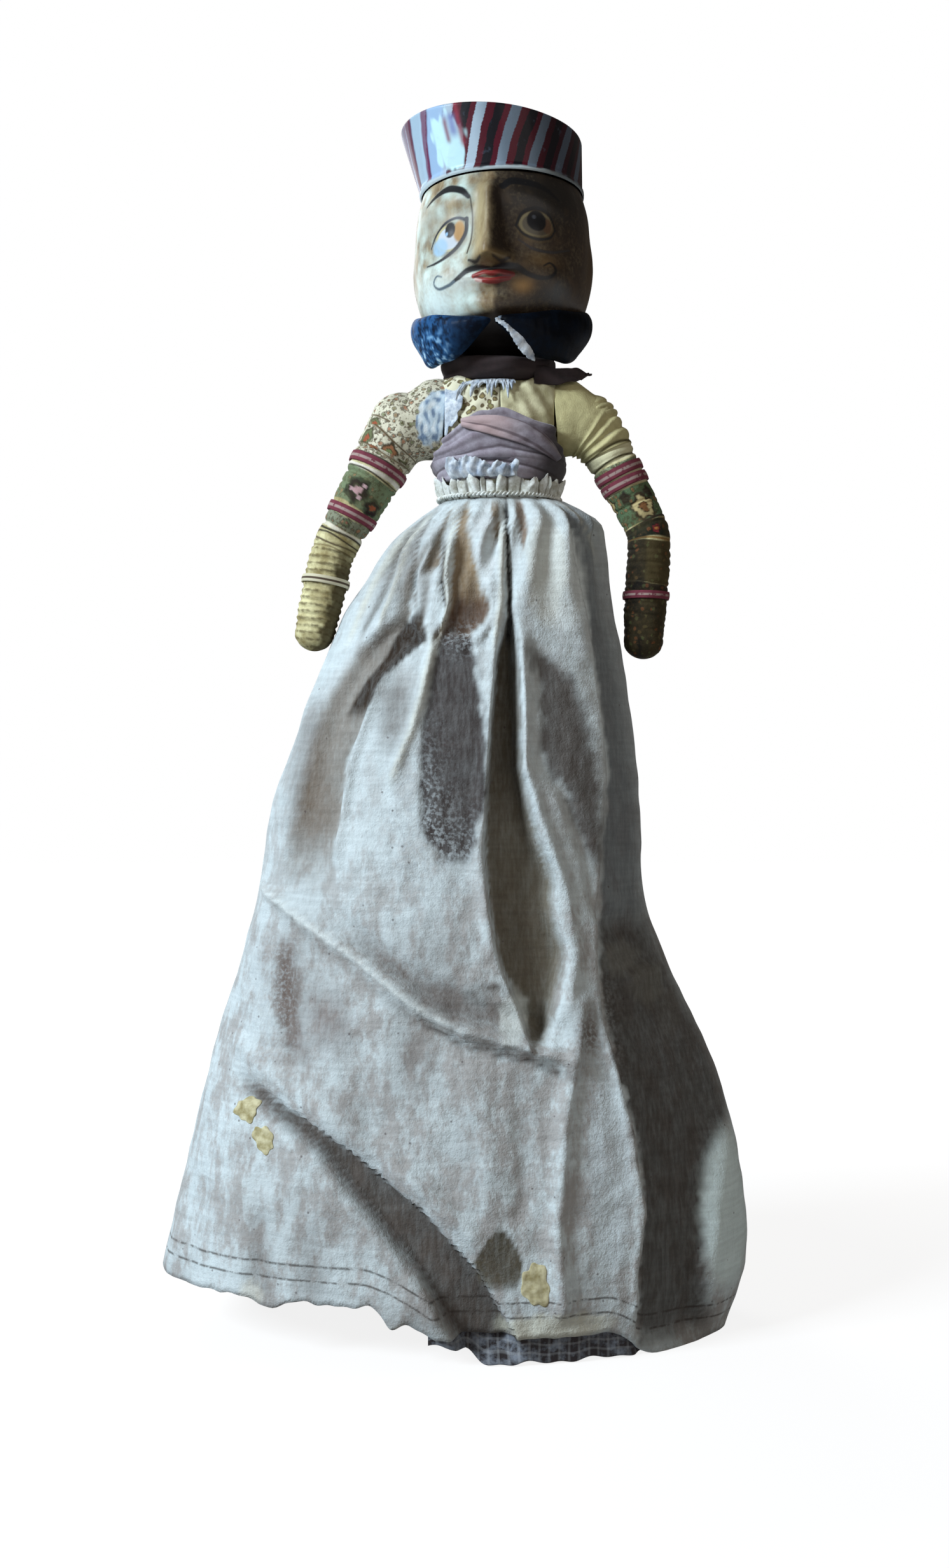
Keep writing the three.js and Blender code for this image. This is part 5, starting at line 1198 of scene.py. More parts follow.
def sleeve_paint(arm, distance, around):
    """The print on an arm, with painted shade below the elbow: RGBA colours, and the share of small marks."""
    colours, motif = np.zeros((len(distance), 4)), np.zeros(len(distance))
    for start, stop, code, marks in ZONES[arm["name"]]:
        wave = 0.5 * np.sin(around + start) + 0.25 * np.sin(around * 3 + start)
        cover = smooth(distance + wave, start - 0.25, start + 0.25)
        cover = cover * (1 - smooth(distance + wave, stop - 0.25, stop + 0.25))
        laid_over(colours, code, cover)
        motif = np.maximum(motif * (1 - cover), marks * cover)
    places = np.stack([np.cos(around) * 11, np.sin(around) * 11, distance], axis=1)
    blur = roughness_at(places, 2.0, arm["seed"] + 9)
    for place, angle, size, petal, edge, heart in FLOWERS[arm["name"]]:
        apart = np.mod(around - angle + math.pi, 2 * math.pi) - math.pi
        across, along_it = apart * 10.5, distance - place
        bearing = np.arctan2(along_it, across)
        petals = size * (0.88 + 0.12 * np.cos(bearing * 5 + place))
        reach = np.hypot(across, along_it) / petals + 0.22 * blur
        laid_over(colours, edge, 1 - smooth(reach, 1.0, 1.12))
        laid_over(colours, petal, 1 - smooth(reach, 0.74, 0.84))
        laid_over(colours, edge, 1 - smooth(reach, 0.40, 0.46))
        laid_over(colours, heart, 1 - smooth(reach, 0.30, 0.36))
        motif *= smooth(reach, 0.95, 1.15)
    if arm["side"] < 0:
        # painted shade in the grooves below the elbow and on the side towards the body
        groove_shade = smooth(wrapping(distance, around) + 1.1 * blur - 0.2, 0.1, 0.9)
        laid_over(colours, "#564a2f", 0.7 * groove_shade * smooth(distance, 57, 64))
        inner = smooth(np.sin(around + 0.1 * np.sin(distance * 0.7)), 0.0, 0.8)
        inner = inner * smooth(np.cos(around), -0.7, 0.0)
        inner = smooth(inner + 0.25 * blur, 0.3, 0.9)
        laid_over(colours, "#3d3119", 0.9 * inner * smooth(distance, 56, 74))
    else:
        # painted shade, nearly black, on the side towards the body
        inner = between(around, 4.2, 5.0, 5.9, 6.3) + 0.2 * blur
        laid_over(colours, "#14120e", 0.85 * smooth(inner, 0.3, 0.8) * smooth(distance, 54, 62))
    return colours, motif


for arm in ARMS:
    shoulder, upper, fore, upper_length, fore_length = arm_frame(arm)
    total = upper_length + fore_length
    top = arm["radii"][0]
    end_radius = float(limb_radius(arm, np.array([total - arm["radii"][4]]), upper_length, fore_length)[0])

    def sleeve_shape(u, v):
        around = u * 2 * math.pi
        # the round top and end take up the first and last shares of v
        at_top, at_end = v / 0.1 * math.pi / 2, (v - 0.93) / 0.07 * math.pi / 2
        distance = np.where(v > 0.93, total - end_radius + end_radius * np.sin(at_end),
                            (v - 0.1) / 0.83 * (total - end_radius))
        distance = np.where(v < 0.1, -top * np.cos(at_top), distance)
        radius = limb_radius(arm, np.maximum(distance, 0), upper_length, fore_length)
        radius = np.where(v > 0.93, end_radius * np.cos(at_end), radius)
        radius = np.where(v < 0.1, top * np.sin(at_top), radius)
        body = between(v, 0.02, 0.1, 0.95, 1.0)
        points = on_arm(arm, distance, around, radius)
        lump = 0.45 * roughness_at(points, 9, arm["seed"]) + 0.22 * roughness_at(points, 3, arm["seed"] + 1)
        return distance, around, radius + (0.35 - rib_depth(arm, distance, around) + lump) * body

    def to_sleeve(u, v):
        kept["distance"], kept["around"], radius = sleeve_shape(u, v)
        return on_arm(arm, kept["distance"], kept["around"], radius)

    sleeve_bm = shaped_grid(72, 340, to_sleeve)
    distance, around = kept["distance"], kept["around"]
    colours, motif = sleeve_paint(arm, distance, around)
    paint(sleeve_bm, "print", colours)
    paint(sleeve_bm, "motif", motif)
    sleeve = finished(f"{arm['name']}_sleeve", sleeve_bm, sleeve_cotton, closed=True)
    before = on_arm(arm, np.array([upper_length - BEND_REACH]), np.zeros(1), np.zeros(1))[0] / 1000
    after = on_arm(arm, np.array([upper_length + BEND_REACH]), np.zeros(1), np.zeros(1))[0] / 1000
    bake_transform(sleeve)
    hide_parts(f"{arm['name']}_upper_arm", f"{arm['name']}_forearm")

    places = [(f"{arm['name']}_arm_band_{i + 1}", share * (upper_length - arm["radii"][2] - 0.3), 4.5,
               "arm") for i, share in enumerate(arm["bands"])]
    places.append((f"{arm['name']}_wrist_band", upper_length + arm["wrist"] * fore_length, 3.5, "hand"))
    for band_name, middle, width, body in places:
        def to_band(u, v):
            around = u * 2 * math.pi
            # the tape's outer face takes up most of v, and its inner face the rest
            outer = v < 0.62
            across = np.where(outer, v / 0.62, (1 - v) / 0.38) - 0.5
            skew = 0.5 * np.sin(around + middle)
            distance = middle + across * width + skew
            radius = limb_radius(arm, distance, upper_length, fore_length)
            proud = np.where(outer, 1.0 + 0.25 * np.cos(across * math.pi), 0.1)
            return on_arm(arm, distance, around, radius + proud + 0.12 * np.sin(around * 5 + middle))

        band_bm = shaped_grid(64, 13, to_band)
        paint(band_bm, "wear_and_light", np.full(len(band_bm.verts), float(band_name == "right_wrist_band")))
        band = finished(band_name + "_braid", band_bm, braid, closed=True)
        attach(band, f"{arm['name']}_{body}")
        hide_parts(band_name)

    # Shoulder: the sleeve's stuffed head
    inner = np.array([24.5 * arm["side"], 0, arm["shoulder"][1]])
    bend = np.array([arm["shoulder"][0] * arm["side"], 0, arm["shoulder"][1] + SHOULDER_RISE])
    outer = shoulder + SHOULDER_REACH * upper
    head_radius, cuff_radius = 15.2, arm["radii"][0] - 0.6

    def to_shoulder(u, v):
        around = u * 2 * math.pi
        t = np.clip((v - 0.07) / 0.86, 0, 1)[:, None]
        middle = (1 - t) ** 2 * inner + 2 * t * (1 - t) * bend + t**2 * outer
        ahead = 2 * (1 - t) * (bend - inner) + 2 * t * (outer - bend)
        length = np.linalg.norm(ahead, axis=1)
        turning = np.linalg.norm(np.cross(ahead, 2 * (outer - 2 * bend + inner)), axis=1) / length**3
        ahead = ahead / length[:, None]
        beside = np.cross((0.0, -1.0, 0.0), ahead)
        spoke = np.cos(around)[:, None] * (0.0, -1.0, 0.0) + np.sin(around)[:, None] * beside
        t = t[:, 0]
        radius = head_radius + (cuff_radius - head_radius) * smooth(t, 0.0, 1.0) + 0.5 * np.sin(math.pi * t)
        if arm["side"] > 0:
            for place in SHOULDER_PLEATS:
                radius = radius + 0.85 * bump(t + 0.03 * np.sin(around * 2), place, 0.035)
                radius = radius - 0.5 * bump(t, place + 0.055, 0.02)
        points = middle + radius[:, None] * spoke
        lump = 0.7 * roughness_at(points, 9, arm["seed"] + 3)
        lump = lump + 0.3 * roughness_at(points, 3.5, arm["seed"] + 4)
        radius = radius + lump * smooth(t, 0.0, 0.12) * (1 - 0.7 * smooth(t, 0.6, 1.0))
        # the inner side of the bend stays short of the middle of its curve
        inside = np.sin(around) * arm["side"]
        limit = np.maximum(0.9 / np.maximum(turning, 1e-6) / np.maximum(inside, 0.2), 6)
        radius = np.where(inside > 0.2, np.minimum(radius, limit), radius)
        closing = np.minimum(smooth(v, 0, 0.07), 1 - smooth(v, 0.93, 1))
        radius = radius * (0.02 + 0.98 * closing)
        kept["t"], kept["around"] = t, around
        points = middle + radius[:, None] * spoke
        on_top = np.clip((points[:, 2] - arm["shoulder"][1]) / head_radius, 0, 1) ** 1.5
        points[:, 2] += SHOULDER_HEAP * on_top * (1 - smooth(np.abs(points[:, 0]), 31, 43))
        return points

    shoulder_bm = shaped_grid(110, 90, to_shoulder)
    colours, motif = sleeve_paint(arm, kept["t"] * 22 - 14, kept["around"])
    if arm["side"] < 0:
        places = np.array([vertex.co for vertex in shoulder_bm.verts]) * 1000
        middle_x = -28.5 + 0.22 * (places[:, 2] - 400)
        torn = bump(places[:, 0], middle_x, 8.0) * bump(places[:, 2], 399.5, 12.5) * (places[:, 1] < 0)
        # the torn patch painted on the shoulder, with painted crumple shade in blue grey and painted
        # highlights in white
        crumple_shading = roughness_at(places * (1, 1, 0.6), 2.0, 8)
        torn = smooth(torn + 0.16 * roughness_at(places, 2.6, 7), 0.34, 0.44)
        laid_over(colours, "#c3d6e2", torn)
        laid_over(colours, "#5f7a9c", torn * smooth(crumple_shading, 0.0, 0.35) * 0.85)
        laid_over(colours, "#e6f0f4", torn * smooth(-crumple_shading, 0.15, 0.45) * 0.85)
        motif *= 1 - torn
    paint(shoulder_bm, "print", colours)
    paint(shoulder_bm, "motif", motif)
    cuff = finished(f"{arm['name']}_shoulder_cloth", shoulder_bm, sleeve_cotton, closed=True)
    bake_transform(cuff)
    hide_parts(f"{arm['name']}_shoulder_cap")


# Neck cloth
# A strip of dark brown cotton wound under the beard where the head meets the shirt. Its free
# end sticks out over the puppet's left shoulder.
NECK_LOW, NECK_MIDDLE, NECK_INNER, NECK_OUTER = 414.8, 419.2, 13.3, 21.0


def to_neck_cloth(u, v):
    around = u * 2 * math.pi
    section = v * 2 * math.pi
    middle = (NECK_INNER + NECK_OUTER) / 2 - 1.0
    outside = np.maximum(np.cos(section), 0)
    swelling = outside * (4.8 + 1.2 * np.sin(around * 3 + 1) + 0.6 * np.sin(around * 8))
    radius = middle + 3.4 * np.cos(section) + swelling
    raised = np.maximum(np.sin(section), 0)
    beside = np.abs(np.sin(around)) ** 1.5
    radius = radius + (1.7 + 3.4 * beside) * raised
    height = NECK_MIDDLE + 4.3 * np.sin(section) + 0.6 * outside
    height = height + 3.0 * raised * smooth(-np.cos(around), -0.9, -0.2)
    height = height + 1.6 * raised * beside
    ripple = 0.4 * np.sin(section * 3 + around * 2) + 0.25 * np.sin(section * 7 - around * 3)
    radius = radius + ripple * np.cos(section)
    height = height + ripple * np.sin(section)
    height = np.maximum(height, NECK_LOW + 0.2)
    return np.stack([radius * np.sin(around), -radius * np.cos(around), height], axis=1)


# Dark brown cotton, quite matt, so that its turns hardly show
brown, shader, at = new_material("dark_brown_cotton")
BROWN_BLOTCH = 0.003
brown_fade = add_node(brown, "TexNoise", {"Vector": at["Object"], "Scale": 1 / BROWN_BLOTCH, "Detail": 6.0})
tone = add_node(brown, "Mix", {0: brown_fade, 6: "#120d0e", 7: "#362829"})
fill(brown, shader, {"Base Color": tone, "Roughness": 0.95})
neck_cloth = finished("neck_cloth_roll", shaped_grid(150, 36, to_neck_cloth), brown, closed=True)
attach(neck_cloth, "body")
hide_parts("neck_cloth")


def to_loose_end(u, v):
    """The cloth's free end, a ragged tuft on the puppet's left shoulder."""
    half_width = 3.6 * (1 - smooth(u, 0.5, 1.0)) + 0.3
    rags = 0.8 * np.sin(u * 17 + 1) * (2 * v - 1)
    x = 15 + 25 * u + 0.8 * np.sin(v * 9) * u
    y = -17.0 + 7.0 * u + 1.2 * np.sin(u * 9 + v * 5)
    z = 416.6 + 1.8 * u * u + (v - 0.5) * 2 * half_width + rags * u
    return np.stack([x, y, np.minimum(z, 420.3)], axis=1)


loose_end = finished("neck_cloth_end", shaped_grid(60, 16, to_loose_end), brown, thickness=0.0005,
                     offset=1.0)
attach(loose_end, "body")


# Head
# Carved from one block of wood, primed, and painted ochre with a brush under a yellowed
# gloss varnish. Brows, eyes, moustache and lips are painted in black, white, orange and red.
# The block: height, half width, half depth
HEAD = [[415.3, 12, 12], [424, 12.4, 12.4], [430, 19, 18], [436, 28.5, 27], [443, 34.5, 33],
        [452, 38, 36.5], [464, 39, 37.5], [478, 39, 37.5], [490, 37.8, 37], [498.7, 35.6, 35.2]]
HEAD_FOOT, HEAD_TOP = HEAD[0][0], HEAD[-1][0]
HEAD_TURN = math.radians(-8)
HEAD_OFFSET = 1.4
ARC = 39.0
# Carved features of both sides: place [arc, height], relief, half width, half height
FEATURES = [((18, 489), 1.8, 15, 4.5), ((19, 472), -2.0, 11, 9), ((19, 473), 2.9, 7.8, 6.5),
            ((24, 455), 2.0, 8, 7), ((0, 441), 3.2, 12, 5)]


def face_relief(arc, height):
    """How far the face stands out at a place on it."""
    across = np.sin(arc / ARC) * ARC
    down = np.clip((494 - height) / 36, 0, 1)
    top_of_nose = smooth(497 - height, 0, 8)
    bridge = (3.5 + 8 * down) * smooth(height, 456.0, 460.0) * top_of_nose
    bridge = bridge * bump(across, -0.8, 3.3 + 3.3 * down**2)
    ball = 1.6 * bump(height, 463, 4.2) * bump(across, -1, 5)
    wings = 1.9 * bump(height, 461.5, 3.0) * bump(np.abs(across + 0.8), 7.0, 2.4)
    relief = bridge + ball + wings
    for (place, rise_at), depth, width, rise in FEATURES:
        # the brow is arched
        middle = rise_at - (0.006 * across**2 if rise_at == 489 else 0)
        relief += depth * bump(height, middle, rise) * bump(np.abs(across), place, width)
    upper_lip = 2.0 * bump(height, 454.3 - 0.01 * across**2, 1.5) * bump(across, 0, 8.5)
    lower_lip = 2.3 * bump(height, 451.2 + 0.012 * across**2, 1.5) * bump(across, 0, 6.5)
    mouth = -0.9 * bump(height, 452.9, 0.5) * bump(across, 0, 8)
    hollow = -1.0 * bump(height, 446.5, 2.2) * bump(across, 0, 9)
    return relief + upper_lip + lower_lip + mouth + hollow


def head_point(turn, height):
    """A point of the carved head; turn is 0 at the nose."""
    half_width, half_depth = along(HEAD, height, 1), along(HEAD, height, 2)
    relief = smooth(np.cos(turn), 0.15, 0.6) * face_relief(turn * ARC, height)
    ear_place = np.abs(turn) - 1.62
    ear = 3.0 * bump(ear_place, 0, 0.16) * bump(height, 465, 9)
    ear -= 1.1 * bump(ear_place, 0.0, 0.06) * bump(height, 465.5, 5)
    relief = relief + ear
    x = (half_width + relief * 0.6) * np.sin(turn)
    y = -(half_depth + relief) * np.cos(turn)
    cos, sin = math.cos(HEAD_TURN), math.sin(HEAD_TURN)
    beside = HEAD_OFFSET * smooth(height, 424, 436)
    return np.stack([x * cos - y * sin + beside, x * sin + y * cos, height], axis=1)


def to_head(u, v):
    kept["turn"] = (u - 0.5) * 2 * math.pi
    kept["turn"] = kept["turn"] - 0.55 * np.sin(kept["turn"])
    # the last share of v closes the flat top
    kept["height"] = HEAD_FOOT + (HEAD_TOP - HEAD_FOOT) * np.clip(v / 0.96, 0, 1)
    points = head_point(kept["turn"], kept["height"])
    points += 0.22 * roughness_at(points * (1, 1, 0.7), 7, 61)[:, None] * np.sign(points) * (1, 1, 0)
    closing = np.clip((v - 0.96) / 0.04, 0, 1)[:, None]
    return points * (1 - closing * (1, 1, 0)) + closing * (1, 1, 0) * (HEAD_OFFSET, 0, 0)


def stroke(arc, height, path, width, soft=0.35):
    """Cover, from 0 to 1, of a brush stroke along a path; width is one number or one per point."""
    path = np.array(path, float)
    widths = np.broadcast_to(np.array(width, float), (len(path),))
    cover = np.zeros_like(arc)
    for (ax, az), (bx, bz), aw, bw in zip(path[:-1], path[1:], widths[:-1], widths[1:]):
        length2 = max((bx - ax) ** 2 + (bz - az) ** 2, 1e-6)
        t = np.clip(((arc - ax) * (bx - ax) + (height - az) * (bz - az)) / length2, 0, 1)
        apart = np.hypot(arc - ax - t * (bx - ax), height - az - t * (bz - az))
        half = (aw + (bw - aw) * t) / 2
        cover = np.maximum(cover, 1 - smooth(apart, half - soft, half + soft))
    return cover


def rounded_path(path, steps=6):
    """A smooth curve through the points of a path."""
    points = np.array(path, float)
    ends = np.vstack([2 * points[0] - points[1], points, 2 * points[-1] - points[-2]])
    curve = []
    for a, b, c, d in zip(ends[:-3], ends[1:-2], ends[2:-1], ends[3:]):
        for t in np.arange(steps) / steps:
            square, cube = 2 * a - 5 * b + 4 * c - d, 3 * b - a - 3 * c + d
            curve.append(0.5 * (2 * b + (c - a) * t + square * t**2 + cube * t**3))
    return np.array(curve + [points[-1]])


def oval(arc, height, centre, half_width, half_height, soft=0.3):
    """1 inside an oval, 0 outside."""
    apart = np.hypot((arc - centre[0]) / half_width, (height - centre[1]) / half_height)
    edge = soft / min(half_width, half_height)
    return 1 - smooth(apart, 1 - edge, 1 + edge)


head_bm = shaped_grid(330, 260, to_head)
arc, height = kept["turn"] * ARC, kept["height"]
BLACK, WHITE, RED = "#08080b", "#c3cdd6", "#94302b"
patchy = roughness_at(np.stack([arc, height, 0 * arc], axis=1), 5, 62)
layers = [
    # a patchy pale painted highlight on the puppet's right, the side towards the lamp
    (between(-arc, 3, 12, 45, 70) * np.clip(0.36 + 0.62 * patchy, 0, 0.92), "#cfe6df"),
    # painted highlights at the jaw, lip and lid on the puppet's right
    (bump(arc, -30, 15) * bump(height, 447, 12) * 0.85, "#e2f2ee"),
    (bump(arc, -13, 8) * bump(height, 452, 4) * 0.5, "#c9d2d0"),
    (bump(arc, -32, 12) * bump(height, 482, 7) * 0.6, "#a7a496"),
    # painted shade, dark on the puppet's left, with tan patches in it
    (smooth(arc + 0.8 * patchy, -0.6, 2.6)
     * np.clip(0.84 + 0.10 * patchy + 0.06 * smooth(arc, 12, 40), 0, 1), "#2a1f15"),
    (between(arc, 2, 6, 34, 50) * smooth(patchy, 0.15, 0.7) * 0.4, "#5f4c33"),
    # the nose: painted shadow on the puppet's left of it, a painted highlight on its right, and its underside
    # tan
    (bump(arc, 3.4, 3.6) * between(height, 455, 460, 484, 492) * 0.6, "#1e130a"),
    (bump(arc, -4.6, 3.0) * between(height, 458, 464, 490, 499) * 0.5, "#bba97c"),
    (bump(arc, -1, 8) * bump(height, 459.2, 2.2) * 0.7, "#8a7449"),
    # a small painted highlight below the mouth on the puppet's left
    (bump(arc, 14, 4.5) * bump(height, 449.5, 2.8) * 0.75, "#a07a48"),
    # painted shade on the forehead and jaw on the puppet's left, a faint painted sheen on that jaw and a
    # faint painted highlight on that cheek
    (bump(arc, 28, 26) * bump(height, 490, 13) * 0.9, "#151412"),
    (bump(arc, 28, 20) * bump(height, 445, 7) * 0.5, "#211b15"),
    (bump(arc, 31, 6) * bump(height, 448.5, 4) * 0.35, "#5c6468"),
    (bump(arc, 22, 8) * bump(height, 461, 3.5) * 0.3, "#80643c"),
]
# Eyes: centre [arc, height], rim, white; the one on the puppet's left is painted dark as shade
EYES = [((-19.8, 471.6), "#b9b28c", WHITE), ((19.4, 475.6), "#6d6349", "#4b4438")]
for (eye_arc, eye_height), rim, white in EYES:
    layers.append((oval(arc, height, (eye_arc, eye_height - 0.6), 9.2, 7.4, 0.8) * 0.45, "#5c4a2c"))
    layers.append((oval(arc, height, (eye_arc, eye_height), 7.8, 5.6), rim))
    layers.append((oval(arc, height, (eye_arc + 0.2, eye_height - 0.2), 6.6, 4.6), white))
layers += [
    (oval(arc, height, (-14.6, 473.6), 2.6, 4.6, 0.6), "#b08a55"),
    (oval(arc, height, (-25.0, 468.6), 4.6, 3.6, 0.8) * 0.8, "#9fc4de"),
    (oval(arc, height, (24.4, 475.2), 2.4, 3.2, 0.5) * 0.8, "#5a402c"),
    (oval(arc, height, (-19.0, 474.8), 2.6, 3.4), BLACK),
    (oval(arc, height, (19.4, 477.0), 4.4, 4.5), BLACK),
    # painted catchlights in the pupils
    (oval(arc, height, (-20.6, 473.2), 0.7, 0.8, 0.25), "#8fb6d6"),
    (oval(arc, height, (18.2, 478.6), 0.9, 0.9, 0.25), "#3b3d42"),
]
# Brush strokes: path [arc, height], width at each point, colour
STROKES = [
    # brows
    ([(-35.6, 488.9), (-28.4, 492.1), (-21.5, 493.2), (-14.1, 490.9), (-10, 487.4)],
     (1.0, 2.4, 3.4, 3.2, 2.0), BLACK),
    ([(4.8, 491.0), (9, 493.6), (17.7, 493.0), (24.4, 491.4), (31, 487.6)], (3.0, 3.4, 3.2, 2.6, 1.4),
     BLACK),
    # lids of the eye on the puppet's right
    ([(-31.0, 469.4), (-27.4, 474.4), (-22.0, 478.2), (-16.0, 479.6), (-11.2, 478.0)],
     (0.8, 1.1, 1.3, 1.3, 1.6), "#22242c"),
    ([(-11.2, 478.6), (-11.6, 472.6), (-15.6, 467.2), (-21.5, 464.0), (-28, 462.4), (-34.5, 462.6)],
     (2.0, 1.9, 1.8, 1.6, 1.2, 0.7), "#1c1a1c"),
    # lids of the eye on the puppet's left
    ([(10.4, 474.6), (13.2, 480.0), (19.4, 482.4), (25.4, 480.2), (28.6, 474.4)], (1.1, 1.6, 1.8, 1.6, 1.1),
     BLACK),
    ([(10.4, 474.6), (14.0, 470.8), (20.0, 469.2), (26.0, 470.8), (28.6, 474.4)], (0.9, 1.1, 1.2, 1.1, 0.9),
     BLACK),
    ([(11.4, 468.6), (18, 465.2), (27, 464.8), (37, 467.6)], (0.6, 1.2, 1.2, 0.6), "#2d2a2a"),
    # nose: its sides and nostrils
    ([(-9.2, 487), (-8.4, 479), (-8.8, 470), (-10.6, 463.6)], (0.6, 0.7, 0.8, 1.0), "#3d3322"),
    ([(-9.6, 459.9), (-6.4, 458.3), (-3.5, 458.9)], (0.9, 1.1, 0.7), "#241d18"),
    ([(1.5, 458.9), (4.6, 458.2), (7.8, 460.0)], (0.7, 1.1, 0.9), "#241d18"),
    # moustache
    ([(-0.4, 456.0), (-6, 456.6), (-11, 456.3), (-15, 454.0), (-19.0, 452.0)], (1.6, 2.0, 2.4, 2.0, 1.0),
     BLACK),
    # its curl there is worn thin
    ([(-17.6, 452.6), (-20.6, 451.4), (-26, 450.9), (-28.6, 453.4), (-26.4, 456.2), (-23.4, 455.4)],
     (1.2, 1.3, 1.1, 1.0, 0.9, 0.6), "#56656f"),
    ([(0.4, 456.0), (5.4, 456.8), (10.7, 457.0), (15.4, 454.4), (20.6, 453.0), (26, 453.8), (28.6, 457.0),
      (26.0, 459.8), (22.8, 458.2)], (1.6, 2.4, 2.8, 2.2, 1.8, 1.5, 1.2, 0.9, 0.6), BLACK),
]
for path, widths, code in STROKES:
    curve = rounded_path(path)
    spread = np.interp(np.linspace(0, len(widths) - 1, len(curve)), range(len(widths)), widths)
    layers.append((stroke(arc, height, curve, spread), code))
upper_lip = rounded_path([(-8.1, 453.6), (-3.4, 454.7), (0, 454.1), (3.8, 454.8), (9.0, 453.8)])
lower_lip = rounded_path([(-6.4, 452.4), (0, 451.0), (7.2, 452.6)])
lips = np.maximum(stroke(arc, height, upper_lip, 1.9), stroke(arc, height, lower_lip, 2.3))
layers.append((lips, RED))
# the lips painted darker towards the puppet's left as shade
layers.append((lips * (0.25 + 0.55 * smooth(arc, -1, 6)), "#3a1214"))
layers.append((stroke(arc, height, [(-7.6, 453.1), (0, 452.8), (8.4, 453.3)], 0.45, 0.25), "#3a1418"))
# a painted highlight at the lower lip's end on the puppet's right
layers.append((stroke(arc, height, [(-7.2, 452.2), (-4.6, 451.2)], 1.0) * 0.7, "#e4c9c0"))
# the hair's edge along the jaw, and grime round the ears
layers.append((smooth(-height, -441.0, -438.5) * smooth(-np.abs(arc), -70, -40), "#2a2118"))
layers.append((bump(np.abs(arc), 60, 9) * bump(height, 465, 22) * 0.55, "#4c3b22"))
layers.append((smooth(np.abs(arc), 66, 88), "#16171c"))
# the head's underside painted dark as the shade under it
layers.append((smooth(-height, -438.5, -435), "#120d0c"))
colours = np.zeros((len(arc), 4))
for cover, code in layers:
    laid_over(colours, code, cover)
paint(head_bm, "paint", colours)

# Brushed ochre paint under old varnish: upright streaks, small dark chips, a dull gloss
ochre, shader, at = new_material("varnished_ochre_paint")
BRUSH_WIDTH, CHIP_SIZE = 0.0045, 0.0015
streak = add_node(ochre, "Mapping", {"Vector": at["Object"], "Scale": (1, 1, 0.35)})
brush, base = blotched(ochre, streak, BRUSH_WIDTH, (0.36, 0.66), "#a49778", "#6a553a", 7.0, 0.62)
ochre_worn = add_node(ochre, "TexNoise", {"Vector": at["Object"], "Scale": 1 / CHIP_SIZE, "Detail": 4.0})
chip = add_node(ochre, "MapRange", {0: ochre_worn, 1: 0.66, 2: 0.72, 4: 0.55})
chipped = add_node(ochre, "Mix", {0: chip, 6: base, 7: "#463823"})
ochre_paint = add_node(ochre, "Attribute", attribute_name="paint")
uneven = add_node(ochre, "Math", {0: ochre_worn, 1: 0.5, 2: -0.25}, operation="MULTIPLY_ADD")
ochre_cover = add_node(ochre, "Math", {0: ochre_paint.outputs["Alpha"], 1: uneven}, operation="ADD")
ochre_edge = add_node(ochre, "MapRange", {0: ochre_cover, 1: 0.08, 2: 0.92})
tone = add_node(ochre, "Mix", {0: ochre_edge, 6: chipped, 7: ochre_paint.outputs["Color"]})
ochre_bump = add_node(ochre, "Bump", {"Height": brush, "Strength": 0.35, "Distance": 0.0006})
fill(ochre, shader, {"Base Color": tone, "Normal": ochre_bump, "Roughness": 0.52, "Specular IOR Level": 0.3,
                     "Coat Weight": 0.08, "Coat Roughness": 0.3})

head = finished("painted_head", head_bm, ochre, closed=True)
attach(head, "head")
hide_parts("head")


# Beard
# Two carved lobes glued under the jaw, grooved like hair and painted with black gloss paint
# that has a cloudy blue bloom. The lobe on the puppet's right carries painted highlights in
# blue and pale cyan, the one on its left painted shade.
BEARD_FOOT, BEARD_TOP = 420.8, 438.0


def beard_lobe(side):
    """Places one lobe, whose t runs from the parting to the ear; side is 1 on the puppet's left."""
    def to_lobe(u, t):
        section = u * 2 * math.pi
        round_ends = np.sqrt(np.clip(1 - (2 * t - 1) ** 6, 0, 1))
        turn = (math.radians(1.2) + math.radians(103) * t) * side + HEAD_TURN
        rise = 0.7 * smooth(t, 0.56, 1.08)
        drop = smooth(t, -0.1, 0.36) - rise
        top = BEARD_TOP + 3.4 * smooth(t, 0.16, 0.5) + 6 * smooth(t, 0.45, 0.95)
        foot = BEARD_TOP - 3 - (BEARD_TOP - 3 - BEARD_FOOT) * drop
        thickness = 9.0 * (0.75 + 0.25 * np.sin(math.pi * np.minimum(1, t * 1.2)))
        lift, out = np.sin(section), np.cos(section)
        height = (top + foot) / 2 + lift * (top - foot) / 2 * round_ends
        jaw = 27.5 + 5.5 * smooth(height, 424, 446)
        strand = 1.0 + 0.07 * np.sin(t * 54 + 2.2 * np.sin(height * 0.22))
        strand += 0.04 * np.sin(t * 117 + height * 0.3)
        strand += 0.5 * np.sin(t * 9 + 1) * np.sin(height * 0.35)
        depth = jaw + thickness / 2 + (out * thickness / 2 + strand * (out > 0) * np.abs(out)) * round_ends
        kept["t"], kept["height"], kept["out"] = t, height, out
        return np.stack([depth * 1.03 * np.sin(turn) + HEAD_OFFSET, -depth * np.cos(turn), height], axis=1)
    return to_lobe


# Black gloss paint that has gone dull, with a cloudy blue bloom
gloss_black, shader, at = new_material("black_gloss_paint")
BLOOM_SIZE = 0.0065
gloss_bloom = add_node(gloss_black, "TexNoise",
                       {"Vector": at["Object"], "Scale": 1 / BLOOM_SIZE, "Detail": 6.0, "Roughness": 0.65})
bloomed = add_node(gloss_black, "MapRange", {0: gloss_bloom, 1: 0.42, 2: 0.70, 4: 0.9})
base = add_node(gloss_black, "Mix", {0: bloomed, 6: "#0b0e16", 7: "#2b4e74"})
